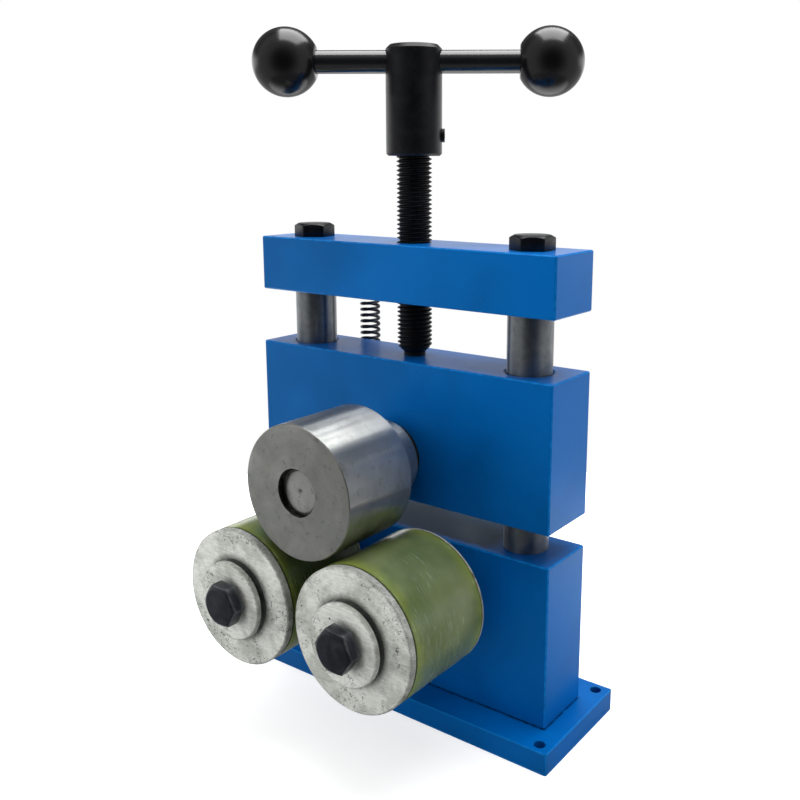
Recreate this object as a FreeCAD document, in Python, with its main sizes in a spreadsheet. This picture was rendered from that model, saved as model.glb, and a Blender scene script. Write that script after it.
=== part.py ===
import FreeCAD, Part
import os
import re
import Sketcher

# Ring roller: a steel roller on a sliding block is screwed down between two polyurethane-tyred rollers.
# Millimetres and degrees. The origin is the centre of the base plate's underside, +Z is up, +X is to the
# right and the rollers stand out towards -Y. The slider and the handle are drawn in their rest position.

SIZES = [
    # base plate
    ("base_length", 184), ("base_width", 62), ("base_thick", 10), ("base_corner", 1), ("bench_hole", 5.2),
    ("bench_hole_inset_x", 6), ("bench_hole_inset_y", 5),
    # blocks
    ("block_length", 165), ("block_depth", 32), ("slider_depth", 33), ("lower_height", 75),
    ("slider_height", 65), ("bar_height", 26), ("edge_break", 0.6),
    # guide posts; their height is the space between the lower block and the top bar
    ("post_dia", 20), ("post_spacing", 124), ("post_height", 105.5), ("post_seat", 50), ("post_mouth", 1.2),
    # screws that hold the posts and the lower block from beneath
    ("foot_screw", 10), ("foot_screw_grip", 18), ("foot_head", 20), ("foot_socket", 6),
    ("foot_socket_depth", 4), ("block_screw", 8), ("block_screw_length", 30),
    ("block_head", 16), ("block_socket", 5), ("block_socket_depth", 3.2), ("block_screw_spacing", 44),
    ("head_recess", 0.2),
    # hexagon bolts: head, and the angle at which each one came tight
    ("bolt_flats", 17), ("bolt_head", 6.4), ("bolt_face_dia", 16.15), ("post_bolt", 10),
    ("post_bolt_length", 45), ("left_bar_bolt_turn", 39), ("right_bar_bolt_turn", 31),
    ("left_end_bolt_turn", 59), ("right_end_bolt_turn", 55),
    # press screw and hub
    ("screw_dia", 15.7), ("screw_pin", 10), ("pin_depth", 12), ("pin_rise", 1.65), ("screw_end_break", 1),
    ("hub_rise", 38.5), ("hub_dia", 25), ("hub_height", 47.5), ("hub_web", 5.4),
    ("hub_foot_break", 1), ("hub_top_break", 1.8), ("grub_rise", 8.9), ("grub_dia", 6), ("grub_proud", 1.2),
    ("grub_socket", 3), ("grub_socket_depth", 2.5),
    # cross bar and ball knobs
    ("handle_angle", 33.5), ("cross_dia", 10), ("cross_drop", 7.1), ("cross_span", 116.2),
    ("cross_offset", 1.6), ("knob_dia", 30), ("knob_flat", 14), ("knob_bore_depth", 12),
    # top roller, its shaft and what carries it; the nip is the space to the lower rollers at rest
    ("rest_nip", 2.93), ("top_roller_rise", 20.2), ("top_roller_dia", 58), ("top_roller_length", 40),
    ("top_roller_break", 0.4), ("shaft_dia", 20), ("shaft_recess", 2.5), ("shaft_end_break", 1.3),
    ("collar_dia", 36), ("collar_length", 19), ("collar_break", 0.6), ("bush_wall", 3), ("bush_gap", 3),
    ("bush_flange_dia", 30), ("bush_flange", 4), ("end_play", 0.5), ("thrust_washer", 1.5),
    ("ring_thick", 1.2), ("ring_width", 3.5), ("ring_gap", 4), ("ring_groove_depth", 0.7), ("shaft_tail", 2),
    ("drive_dia", 16), ("drive_length", 25), ("drive_flat", 1),
    # lower rollers; their axes lie a drop below the top of the lower block
    ("roller_dia", 61), ("roller_gap", 4), ("roller_drop", 18.7), ("roller_length", 50),
    ("roller_standoff", 19), ("plate_thick", 3.6), ("plate_break", 0.5), ("rear_plate_thick", 1.2),
    ("sleeve_wall", 8), ("seat_step", 2),
    # ball bearings of the lower rollers
    ("bearing_bore", 15), ("bearing_dia", 35), ("bearing_width", 11), ("bearing_recess", 0.5),
    ("ring_land", 1.6), ("ball_dia", 5.95), ("ball_count", 8),
    # axles of the lower rollers
    ("axle_shoulder", 22), ("axle_thread", 12), ("thread_proud", 2.5), ("axle_spacer_dia", 20),
    ("axle_step", 0.5), ("end_washer_dia", 35), ("end_washer_thick", 2.5), ("end_washer_gap", 2.2),
    ("end_bolt", 10), ("end_bolt_length", 25), ("nut_flats", 19), ("nut_height", 10),
    ("nut_washer_dia", 24), ("nut_washer_thick", 2.5),
    # return springs and the screws that they hook on; the inset is from the post's axis
    ("spring_inset", 16.5), ("spring_gap", 0.3), ("spring_dia", 10.4), ("spring_wire", 1.45),
    ("spring_turns", 16), ("hook_screw", 5), ("hook_head", 9), ("hook_head_thick", 3), ("hook_grip", 10),
    ("hook_gap", 0.2), ("hook_room", 0.3), ("upper_hook_drop", 13), ("lower_hook_drop", 14.3),
    # what screws, shafts and their holes have in common
    ("end_break", 1), ("drill_room", 2),
    # fits, all radial
    ("running_fit", 0.05), ("seat_fit", 0.02), ("bolt_room", 0.5), ("ball_fit", 0.03),
]
SIDES = (("left", -1), ("right", 1))
FUNCTIONS = {"sqrt", "cos", "sin", "acos", "max"}
UPRIGHT = FreeCAD.Rotation()
TO_FRONT = FreeCAD.Rotation(FreeCAD.Vector(1, 0, 0), 90)
TO_BACK = FreeCAD.Rotation(FreeCAD.Vector(1, 0, 0), -90)
TO_RIGHT = FreeCAD.Rotation(FreeCAD.Vector(0, 1, 0), 90)

# heights and depths that several pieces share, worked out from the sizes
LOWER_TOP = "(base_thick + lower_height)"
BAR_FOOT = f"({LOWER_TOP} + post_height)"
BAR_TOP = f"({BAR_FOOT} + bar_height)"
HUB_FOOT = f"({BAR_TOP} + hub_rise)"
ROLLER_X = "((roller_dia + roller_gap) / 2)"
ROLLER_Z = f"({LOWER_TOP} - roller_drop)"
AXLE_DISTANCE = "((top_roller_dia + roller_dia) / 2 + rest_nip)"
TOP_ROLLER_Z = f"({ROLLER_Z} + sqrt({AXLE_DISTANCE}^2 - {ROLLER_X}^2))"
SLIDER_FOOT = f"({TOP_ROLLER_Z} - top_roller_rise)"
SLIDER_TOP = f"({SLIDER_FOOT} + slider_height)"
SLIDER_FRONT = "(0 - slider_depth / 2)"
SLIDER_BACK = "(slider_depth / 2)"
BLOCK_FRONT = "(0 - block_depth / 2)"
BLOCK_BACK = "(block_depth / 2)"
POST_FOOT = f"({LOWER_TOP} - post_seat)"
BUSH_BORE = "(shaft_dia / 2 + running_fit)"
BUSH_OUTER = f"({BUSH_BORE} + bush_wall)"
CROSS_RISE = "(hub_height - cross_drop)"
HUB_BORE_DEPTH = f"({CROSS_RISE} - cross_dia / 2 - hub_web)"
SPRING_X = "(post_spacing / 2 - spring_inset)"
SPRING_Y = "(max(block_depth; slider_depth) / 2 + spring_gap + spring_dia / 2)"
SPRING_RADIUS = "((spring_dia - spring_wire) / 2)"
HOOK_DROP = f"({SPRING_RADIUS} - spring_wire / 2 - hook_screw / 2 - running_fit)"
HOOK_RISE = f"(hook_gap + hook_screw / 2 - {HOOK_DROP})"
UPPER_HOOK_Z = f"({BAR_TOP} - upper_hook_drop)"
LOWER_HOOK_Z = f"({SLIDER_TOP} - lower_hook_drop)"
SPRING_TOP = f"({UPPER_HOOK_Z} - {HOOK_DROP} - {HOOK_RISE})"
SPRING_FOOT = f"({LOWER_HOOK_Z} + {HOOK_DROP} + {HOOK_RISE})"
SPRING_LENGTH = f"({SPRING_TOP} - {SPRING_FOOT})"
BALL_CIRCLE = "((bearing_bore + bearing_dia) / 4)"

# the screws from beneath: diameter, head and spacing along X
FOOT_SCREWS = (
    ("foot_screw", "foot_head", "post_spacing"),
    ("block_screw", "block_head", "block_screw_spacing"),
)

doc = FreeCAD.newDocument("ring_roller")
sheet = doc.addObject("Spreadsheet::Sheet", "sizes")
for row, (alias, size) in enumerate(SIZES, start=1):
    sheet.set(f"A{row}", alias)
    sheet.set(f"B{row}", str(size))
    sheet.setAlias(f"B{row}", alias)
doc.recompute()

nodes = {}


# ---------------------------------------------------------------- helpers


def cell_of(word):
    """The way into the sheet for a size's name; a function's name stays as it is."""
    return word[0] if word[0] in FUNCTIONS else "sizes." + word[0]


def cells(text):
    """An expression in which each size's name points at its cell."""
    return re.sub(r"[a-z][a-z_]*[a-z]", cell_of, text)


def value(text):
    """The number that an expression of sizes comes to now."""
    answer = sheet.evalExpression(cells(text))
    return float(getattr(answer, "Value", answer))


def bind(thing, **sizes):
    """Ties properties to expressions of the sizes."""
    for name, text in sizes.items():
        thing.setExpression(name, cells(text))
    return thing


def place(thing, x="0", y="0", z="0", turn=UPRIGHT, swing=None):
    """Puts a thing at a bound position; swing is a bound turn about Z, in degrees."""
    thing.Placement = FreeCAD.Placement(FreeCAD.Vector(), turn)
    for axis, text in zip("xyz", (x, y, z)):
        if text != "0":
            thing.setExpression(f"Placement.Base.{axis}", cells(text))
    if swing:
        # a first turn of any angle fixes the axis
        thing.Placement = FreeCAD.Placement(FreeCAD.Vector(), FreeCAD.Rotation(FreeCAD.Vector(0, 0, 1), 90))
        thing.setExpression("Placement.Rotation.Angle", cells(swing))
    return thing


def keep(label, thing):
    """Names a finished sub-part."""
    thing.Label = label
    nodes[label] = thing
    return thing


def new_body(name):
    return doc.addObject("PartDesign::Body", name)


def new_sketch(body, role):
    sketch = body.newObject("Sketcher::SketchObject", body.Name + "_sketch")
    plane = next(item for item in body.Origin.OriginFeatures if item.Role == role)
    sketch.AttachmentSupport = (plane, [""])
    sketch.MapMode = "FlatFace"
    return sketch


def pin_point(sketch, edge, end, x, y):
    """Holds one point of a sketch at bound coordinates."""
    for kind, text, axis in (("DistanceX", x, -2), ("DistanceY", y, -1)):
        if text == "0":
            sketch.addConstraint(Sketcher.Constraint("PointOnObject", edge, end, axis))
            continue
        index = sketch.addConstraint(Sketcher.Constraint(kind, -1, 1, edge, end, value(text)))
        sketch.setExpression(f"Constraints[{index}]", cells(text))


def draw_outline(sketch, corners):
    """Draws a closed polygon through corners given as pairs of expressions."""
    points = [FreeCAD.Vector(value(x), value(y), 0) for x, y in corners]
    first = len(sketch.Geometry)
    count = len(points)
    for index in range(count):
        sketch.addGeometry(Part.LineSegment(points[index], points[(index + 1) % count]), False)
    for index in range(count):
        following = first + (index + 1) % count
        sketch.addConstraint(Sketcher.Constraint("Coincident", first + index, 2, following, 1))
    for index, (x, y) in enumerate(corners):
        pin_point(sketch, first + index, 1, x, y)


def draw_circle(sketch, radius, x, y):
    centre = FreeCAD.Vector(value(x), value(y), 0)
    edge = sketch.addGeometry(Part.Circle(centre, FreeCAD.Vector(0, 0, 1), value(radius)), False)
    index = sketch.addConstraint(Sketcher.Constraint("Radius", edge, value(radius)))
    sketch.setExpression(f"Constraints[{index}]", cells(radius))
    pin_point(sketch, edge, 3, x, y)


def turn_profile(body, sketch, kind):
    """Adds or cuts what a sketch sweeps in one turn about the body's own Z axis."""
    feature = body.newObject(kind, body.Name + "_turned")
    feature.Profile = sketch
    feature.ReferenceAxis = (sketch, ["V_Axis"])
    feature.Angle = 360


def revolve(body, corners, kind="PartDesign::Revolution"):
    """Turns a polygon of (radius, height) corners about the body's own Z axis."""
    sketch = new_sketch(body, "XZ_Plane")
    draw_outline(sketch, corners)
    turn_profile(body, sketch, kind)


def turned(name, corners, **where):
    body = new_body(name)
    revolve(body, corners)
    place(body, **where)
    return body


def primitive(body, kind, turn=UPRIGHT, x="0", y="0", z="0", **sizes):
    """Adds or cuts a primitive shape in a body."""
    feature = body.newObject("PartDesign::" + kind, body.Name + "_" + kind.lower())
    place(feature, x, y, z, turn)
    return bind(feature, **sizes)


def break_edges(body, base, size, wanted, kind="PartDesign::Chamfer", amount="Size"):
    """Breaks the edges of a feature that pass a test."""
    doc.recompute()
    names = [f"Edge{number}" for number, edge in enumerate(base.Shape.Edges, start=1) if wanted(edge)]
    feature = body.newObject(kind, body.Name + "_edges")
    feature.Base = (base, names)
    return bind(feature, **{amount: size})


def group(label, pieces):
    """Keeps several like pieces as one sub-part of separate solids."""
    compound = doc.addObject("Part::Compound", label)
    compound.Links = pieces
    return keep(label, compound)


def shift(text, side):
    """An expression's value to the left (side -1) or to the right (side 1)."""
    return f"({side} * ({text}))"


def tube_outline(inner, outer, start, end, break_size=None):
    """Corners of a tube's wall, with its two outer edges broken if a size is given."""
    if break_size is None:
        return [(inner, start), (outer, start), (outer, end), (inner, end)]
    narrow = f"({outer} - {break_size})"
    return [
        (inner, start), (narrow, start), (outer, f"({start} + {break_size})"),
        (outer, f"({end} - {break_size})"), (narrow, end), (inner, end),
    ]


# ---------------------------------------------------------------- blocks


def rectangular_body(name, length, depth, height, z):
    """A bar with its sides parallel to the axes, standing at a height."""
    body = new_body(name)
    sketch = new_sketch(body, "XY_Plane")
    half_x, half_y = f"({length} / 2)", f"({depth} / 2)"
    low_x, low_y = f"(0 - {half_x})", f"(0 - {half_y})"
    draw_outline(sketch, [(low_x, low_y), (half_x, low_y), (half_x, half_y), (low_x, half_y)])
    pad = body.newObject("PartDesign::Pad", name + "_pad")
    pad.Profile = sketch
    bind(pad, Length=height)
    place(body, z=z)
    return body, pad


def is_upright(edge):
    return abs(edge.tangentAt(edge.FirstParameter).z) > 0.99


def make_base_plate():
    body, pad = rectangular_body("base_plate", "base_length", "base_width", "base_thick", "0")
    break_edges(body, pad, "base_corner", is_upright, "PartDesign::Fillet", "Radius")
    sketch = new_sketch(body, "XY_Plane")
    hole_x = "(base_length / 2 - bench_hole_inset_x)"
    hole_y = "(base_width / 2 - bench_hole_inset_y)"
    for side_x in (-1, 1):
        for side_y in (-1, 1):
            draw_circle(sketch, "(bench_hole / 2)", shift(hole_x, side_x), shift(hole_y, side_y))
    holes = body.newObject("PartDesign::Pocket", "bench_holes")
    holes.Profile = sketch
    holes.Type = "ThroughAll"
    holes.Reversed = True
    for screw, head, spacing in FOOT_SCREWS:
        hole = f"({screw} / 2 + bolt_room)"
        mouth = f"({head} / 2 + bolt_room)"
        for _, side in SIDES:
            x = shift(f"{spacing} / 2", side)
            primitive(body, "SubtractiveCylinder", x=x, Radius=hole, Height="base_thick")
            primitive(
                body, "SubtractiveCone", x=x, Radius1=mouth, Radius2=hole,
                Height=f"(head_recess + {mouth} - {hole})",
            )
    return keep("base_plate", body)


def make_lower_block():
    body, pad = rectangular_body("lower_block", "block_length", "block_depth", "lower_height", "base_thick")
    break_edges(body, pad, "edge_break", lambda edge: True)
    seat_floor = "(lower_height - post_seat)"
    for _, side in SIDES:
        post_x = shift("post_spacing / 2", side)
        primitive(
            body, "SubtractiveCylinder", x=post_x, z=seat_floor, Radius="(post_dia / 2 + seat_fit)",
            Height="post_seat",
        )
        foot_hole = "(foot_screw / 2 + bolt_room)"
        primitive(body, "SubtractiveCylinder", x=post_x, Radius=foot_hole, Height="lower_height")
        primitive(
            body, "SubtractiveCylinder", x=shift("block_screw_spacing / 2", side),
            Radius="(block_screw / 2 + seat_fit)", Height="(block_screw_length - base_thick + drill_room)",
        )
        primitive(
            body, "SubtractiveCylinder", TO_BACK, x=shift(ROLLER_X, side), y=BLOCK_FRONT,
            z="(lower_height - roller_drop)", Radius="(bearing_bore / 2 + seat_fit)", Height="block_depth",
        )
    return keep("lower_block", body)


def cut_post_bore(body, side):
    """Bores the slider for one post, with a countersunk mouth at each end."""
    x = shift("post_spacing / 2", side)
    bore = "(post_dia / 2 + running_fit)"
    mouth = f"({bore} + post_mouth)"
    primitive(body, "SubtractiveCylinder", x=x, Radius=bore, Height="slider_height")
    for z, near, far in (("0", mouth, bore), ("(slider_height - post_mouth)", bore, mouth)):
        primitive(body, "SubtractiveCone", x=x, z=z, Radius1=near, Radius2=far, Height="post_mouth")


def make_slider_block():
    body, pad = rectangular_body("slider_block", "block_length", "slider_depth", "slider_height", SLIDER_FOOT)
    break_edges(body, pad, "edge_break", lambda edge: True)
    for _, side in SIDES:
        cut_post_bore(body, side)
        primitive(
            body, "SubtractiveCylinder", TO_FRONT, x=shift(SPRING_X, side), y=SLIDER_BACK,
            z="(slider_height - lower_hook_drop)", Radius="(hook_screw / 2 + seat_fit)",
            Height="(hook_grip + drill_room)",
        )
    primitive(
        body, "SubtractiveCylinder", z="(slider_height - pin_depth - seat_fit)",
        Radius="(screw_pin / 2 + running_fit)", Height="(pin_depth + seat_fit)",
    )
    primitive(
        body, "SubtractiveCylinder", TO_BACK, y=SLIDER_FRONT, z="top_roller_rise",
        Radius=f"({BUSH_OUTER} + seat_fit)", Height="slider_depth",
    )
    return keep("slider_block", body)


def make_top_bar():
    body, pad = rectangular_body("top_bar", "block_length", "block_depth", "bar_height", BAR_FOOT)
    break_edges(body, pad, "edge_break", lambda edge: True)
    primitive(body, "SubtractiveCylinder", Radius="(screw_dia / 2 + running_fit)", Height="bar_height")
    for _, side in SIDES:
        primitive(
            body, "SubtractiveCylinder", x=shift("post_spacing / 2", side),
            Radius="(post_bolt / 2 + bolt_room)", Height="bar_height",
        )
        primitive(
            body, "SubtractiveCylinder", TO_FRONT, x=shift(SPRING_X, side), y=BLOCK_BACK,
            z="(bar_height - upper_hook_drop)", Radius="(hook_screw / 2 + seat_fit)",
            Height="(hook_grip + drill_room)",
        )
    return keep("top_bar", body)


# ---------------------------------------------------------------- posts and screws


def make_posts():
    length = "(post_seat + post_height)"
    for name, side in SIDES:
        outline = tube_outline("0", "(post_dia / 2)", "0", length, "end_break")
        body = turned(f"{name}_guide_post", outline, x=shift("post_spacing / 2", side), z=POST_FOOT)
        primitive(
            body, "SubtractiveCylinder", Radius="(foot_screw / 2 + seat_fit)",
            Height="(foot_screw_grip + drill_room)",
        )
        tapped = "(post_bolt_length - bar_height + drill_room)"
        primitive(
            body, "SubtractiveCylinder", z=f"({length} - {tapped})", Radius="(post_bolt / 2 + seat_fit)",
            Height=tapped,
        )
        keep(f"{name}_guide_post", body)


def hexagon_bolt(name, size, length, **where):
    """A hexagon bolt, its head above local Z = 0 and its shank below, tightened to an angle of its own."""
    body = new_body(name)
    corner = "(bolt_flats / sqrt(3))"
    head = primitive(body, "AdditivePrism", Polygon="6", Circumradius=corner, Height="bolt_head")
    place(head, swing=f"{name}_turn")
    face = "(bolt_face_dia / 2)"
    outside = "bolt_flats"
    low = f"(bolt_head - ({outside} - {face}) / sqrt(3))"
    revolve(body, [(face, "bolt_head"), (outside, "bolt_head"), (outside, low)], "PartDesign::Groove")
    shank = f"({size} / 2)"
    tip = f"(0 - {length})"
    narrow = f"({shank} - end_break)"
    revolve(body, [("0", "0"), (shank, "0"), (shank, f"({tip} + end_break)"), (narrow, tip), ("0", tip)])
    return place(body, **where)


def make_top_bar_bolts():
    bolts = []
    for name, side in SIDES:
        x = shift("post_spacing / 2", side)
        bolts.append(hexagon_bolt(f"{name}_bar_bolt", "post_bolt", "post_bolt_length", x=x, z=BAR_TOP))
    group("top_bar_bolts", bolts)


def sunk_screws(label, kind, end, spacing):
    """Two countersunk socket screws of a kind, from beneath the base plate up to a height."""
    shank = f"({kind}_screw / 2)"
    head = f"({kind}_head / 2)"
    length = f"({end} - head_recess)"
    outline = [
        ("0", "0"), (head, "0"), (shank, f"({head} - {shank})"), (shank, f"({length} - end_break)"),
        (f"({shank} - end_break)", length), ("0", length),
    ]
    screws = []
    for name, side in SIDES:
        screw = turned(f"{name}_{label}", outline, x=shift(f"{spacing} / 2", side), z="head_recess")
        primitive(
            screw, "SubtractivePrism", Polygon="6", Circumradius=f"({kind}_socket / sqrt(3))",
            Height=f"{kind}_socket_depth",
        )
        screws.append(screw)
    group(label, screws)


def make_foot_screws():
    sunk_screws("post_foot_screws", "foot", f"({POST_FOOT} + foot_screw_grip)", "post_spacing")
    sunk_screws("block_screws", "block", "block_screw_length", "block_screw_spacing")


def hook_screw(name, side, face, z):
    """A screw that stands out of a rear face; the spring's hook lies on its plain neck."""
    neck = f"({SPRING_Y} - {face} + spring_dia / 2 + hook_room)"
    end = f"({neck} + hook_head_thick)"
    outline = [
        ("0", "(0 - hook_grip)"), ("(hook_screw / 2)", "(0 - hook_grip)"), ("(hook_screw / 2)", neck),
        ("(hook_head / 2)", neck), ("(hook_head / 2)", f"({end} - edge_break)"),
        ("(hook_head / 2 - edge_break)", end), ("0", end),
    ]
    return turned(name, outline, x=shift(SPRING_X, side), y=face, z=z, turn=TO_BACK)


def make_hook_screws():
    for label, face, z in (
        ("upper_hook_screws", BLOCK_BACK, UPPER_HOOK_Z), ("lower_hook_screws", SLIDER_BACK, LOWER_HOOK_Z),
    ):
        group(label, [hook_screw(f"{name}_{label}", side, face, z) for name, side in SIDES])


# ---------------------------------------------------------------- springs


def hook(name, side, legs_z, loop_z, turn):
    """The wire at an end of the coil: two short legs, and a half turn that goes over a screw."""
    x = shift(SPRING_X, side)
    wire = "(spring_wire / 2)"
    loop = doc.addObject("Part::Torus", name)
    bind(loop, Radius1=SPRING_RADIUS, Radius2=wire)
    loop.Angle3 = 180
    pieces = [place(loop, x, SPRING_Y, loop_z, turn)]
    for leg_name, leg_side in SIDES:
        leg = doc.addObject("Part::Cylinder", f"{name}_{leg_name}_leg")
        bind(leg, Radius=wire, Height=HOOK_RISE)
        pieces.append(place(leg, f"({x} + {leg_side} * {SPRING_RADIUS})", SPRING_Y, legs_z))
    return pieces


def make_springs():
    for name, side in SIDES:
        helix = doc.addObject("Part::Helix", f"{name}_spring_line")
        bind(helix, Pitch=f"({SPRING_LENGTH} / spring_turns)", Height=SPRING_LENGTH, Radius=SPRING_RADIUS)
        wire = doc.addObject("Part::Circle", f"{name}_spring_wire")
        bind(wire, Radius="(spring_wire / 2)")
        place(wire, x=SPRING_RADIUS, turn=TO_FRONT)
        coil = doc.addObject("Part::Sweep", f"{name}_spring_coil")
        coil.Sections = [wire]
        coil.Spine = (helix, [])
        coil.Solid = True
        coil.Frenet = True
        place(coil, shift(SPRING_X, side), SPRING_Y, SPRING_FOOT)
        lowest = f"({SPRING_FOOT} - {HOOK_RISE})"
        upper = hook(f"{name}_upper_loop", side, SPRING_TOP, f"({SPRING_TOP} + {HOOK_RISE})", TO_FRONT)
        lower = hook(f"{name}_lower_loop", side, lowest, lowest, TO_BACK)
        group(f"{name}_spring", [coil] + upper + lower)


# ---------------------------------------------------------------- press screw and handle


def make_press_screw():
    foot = f"({SLIDER_TOP} - pin_depth)"
    top = f"({HUB_FOOT} + {HUB_BORE_DEPTH} - {foot})"
    pin = "(screw_pin / 2)"
    screw = "(screw_dia / 2)"
    rise = "(pin_depth + pin_rise)"
    body = turned(
        "press_screw",
        [
            ("0", "0"), (f"({pin} - end_break)", "0"), (pin, "end_break"), (pin, rise),
            (screw, f"({rise} + {screw} - {pin})"), (screw, f"({top} - screw_end_break)"),
            (f"({screw} - screw_end_break)", top), ("0", top),
        ],
        z=foot,
    )
    keep("press_screw", body)


def make_hub():
    outer = "(hub_dia / 2)"
    bore = "(screw_dia / 2 + seat_fit)"
    body = new_body("handle_hub")
    revolve(
        body,
        [
            (bore, "0"), (f"({outer} - hub_foot_break)", "0"), (outer, "hub_foot_break"),
            (outer, "(hub_height - hub_top_break)"), (f"({outer} - hub_top_break)", "hub_height"),
            ("0", "hub_height"), ("0", HUB_BORE_DEPTH), (bore, HUB_BORE_DEPTH),
        ],
    )
    primitive(
        body, "SubtractiveCylinder", TO_RIGHT, x=f"(0 - {outer})", z=CROSS_RISE,
        Radius="(cross_dia / 2 + running_fit)", Height="hub_dia",
    )
    grub_hole = "(grub_dia / 2 + seat_fit)"
    primitive(body, "SubtractiveCylinder", TO_RIGHT, z="grub_rise", Radius=grub_hole, Height=outer)
    place(body, z=HUB_FOOT, swing="handle_angle")
    keep("handle_hub", body)


def make_grub_screw():
    start = "(screw_dia / 2)"
    length = f"(hub_dia / 2 + grub_proud - {start})"
    radius = "(grub_dia / 2)"
    body = new_body("hub_grub_screw")
    primitive(body, "AdditiveCylinder", TO_RIGHT, x=start, Radius=radius, Height=length)
    primitive(
        body, "SubtractivePrism", TO_RIGHT, x=f"({start} + {length} - grub_socket_depth)", Polygon="6",
        Circumradius="(grub_socket / sqrt(3))", Height="grub_socket_depth",
    )
    place(body, z=f"({HUB_FOOT} + grub_rise)", swing="handle_angle")
    keep("hub_grub_screw", body)


def along_handle(distance):
    """World X and Y of a point at a distance along the cross bar from the screw's axis."""
    return f"({distance} * cos(handle_angle))", f"({distance} * sin(handle_angle))"


def make_cross_bar():
    length = "(cross_span - knob_dia + 2 * knob_bore_depth)"
    radius = "(cross_dia / 2)"
    bar = new_body("cross_bar")
    rod = primitive(bar, "AdditiveCylinder", TO_RIGHT, x=f"(0 - {length} / 2)", Radius=radius, Height=length)
    break_edges(bar, rod, "end_break", lambda edge: edge.Closed)
    x, y = along_handle("cross_offset")
    place(bar, x, y, f"({HUB_FOOT} + {CROSS_RISE})", swing="handle_angle")
    keep("cross_bar", bar)


def make_knobs():
    for name, side in SIDES:
        ball = doc.addObject("Part::Sphere", f"{name}_ball")
        bind(ball, Radius="(knob_dia / 2)", Angle1="-acos(knob_flat / knob_dia)")
        place(ball, turn=TO_RIGHT)
        bore = doc.addObject("Part::Cylinder", f"{name}_ball_bore")
        bind(bore, Radius="(cross_dia / 2 + seat_fit)", Height="knob_bore_depth")
        place(bore, x="(0 - knob_dia / 2)", turn=TO_RIGHT)
        knob = doc.addObject("Part::Cut", f"{name}_ball_knob")
        knob.Base = ball
        knob.Tool = bore
        x, y = along_handle(f"(cross_offset + {side} * cross_span / 2)")
        swing = "handle_angle" if side > 0 else "(handle_angle + 180)"
        place(knob, x, y, f"({HUB_FOOT} + {CROSS_RISE})", swing=swing)
        keep(f"{name}_ball_knob", knob)


# ---------------------------------------------------------------- top roller
# Heights along these pieces' own Z count forwards from the slider's front face.


def on_top_axis(name, outline):
    return turned(name, outline, y=SLIDER_FRONT, z=TOP_ROLLER_Z, turn=TO_FRONT)


COLLAR_START = "(bush_flange + end_play)"
TOP_ROLLER_START = f"({COLLAR_START} + collar_length)"
SHAFT_BACK = "(0 - slider_depth - bush_flange - end_play)"
RING_START = f"({SHAFT_BACK} - thrust_washer)"
SHAFT_SEAT = "(shaft_dia / 2 + seat_fit)"


def make_top_roller():
    outer = "(top_roller_dia / 2)"
    end = f"({TOP_ROLLER_START} + top_roller_length)"
    outline = tube_outline(SHAFT_SEAT, outer, TOP_ROLLER_START, end, "top_roller_break")
    mouth = [(f"({SHAFT_SEAT} + top_roller_break)", end), (SHAFT_SEAT, f"({end} - top_roller_break)")]
    keep("top_roller", on_top_axis("top_roller", outline[:-1] + mouth))
    collar = tube_outline(SHAFT_SEAT, "(collar_dia / 2)", COLLAR_START, TOP_ROLLER_START, "collar_break")
    keep("roller_collar", on_top_axis("roller_collar", collar))


def make_top_shaft():
    shaft = "(shaft_dia / 2)"
    drive = "(drive_dia / 2)"
    front = f"({TOP_ROLLER_START} + top_roller_length - shaft_recess)"
    groove = f"({shaft} - ring_groove_depth)"
    groove_end = f"({RING_START} - ring_thick - running_fit)"
    tail = f"({groove_end} - shaft_tail)"
    end = f"({tail} - drive_length)"
    body = on_top_axis(
        "top_roller_shaft",
        [
            ("0", front), (f"({shaft} - shaft_end_break)", front), (shaft, f"({front} - shaft_end_break)"),
            (shaft, RING_START), (groove, RING_START), (groove, groove_end), (shaft, groove_end),
            (shaft, tail), (drive, tail), (drive, f"({end} + end_break)"),
            (f"({drive} - end_break)", end), ("0", end),
        ],
    )
    primitive(
        body, "SubtractiveBox", x=f"({drive} - drive_flat)", y=f"(0 - {drive})", z=end,
        Length=drive, Width="drive_dia", Height="drive_length",
    )
    keep("top_roller_shaft", body)


def make_bushes():
    flange = "(bush_flange_dia / 2)"
    inner_end = "(0 - (slider_depth - bush_gap) / 2)"
    outline = [
        (BUSH_BORE, "bush_flange"), (flange, "bush_flange"), (flange, "0"), (BUSH_OUTER, "0"),
        (BUSH_OUTER, inner_end), (BUSH_BORE, inner_end),
    ]
    for name, face, turn in (("front", SLIDER_FRONT, TO_FRONT), ("rear", SLIDER_BACK, TO_BACK)):
        bush = turned(f"{name}_shaft_bush", outline, y=face, z=TOP_ROLLER_Z, turn=turn)
        keep(f"{name}_shaft_bush", bush)


def make_shaft_retainers():
    washer_outline = tube_outline(SHAFT_SEAT, "(bush_flange_dia / 2)", RING_START, SHAFT_BACK)
    keep("thrust_washer", on_top_axis("thrust_washer_body", washer_outline))
    inner = "(shaft_dia / 2 - ring_groove_depth + seat_fit)"
    outer = f"({inner} + ring_width)"
    back = f"({RING_START} - ring_thick)"
    ring = on_top_axis("retaining_ring", tube_outline(inner, outer, back, RING_START))
    primitive(
        ring, "SubtractiveBox", x="(0 - ring_gap / 2)", z=back, Length="ring_gap", Width=outer,
        Height="ring_thick",
    )
    keep("retaining_ring", ring)


# ---------------------------------------------------------------- lower rollers
# Heights along these pieces' own Z count forwards from the lower block's front face.

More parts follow.
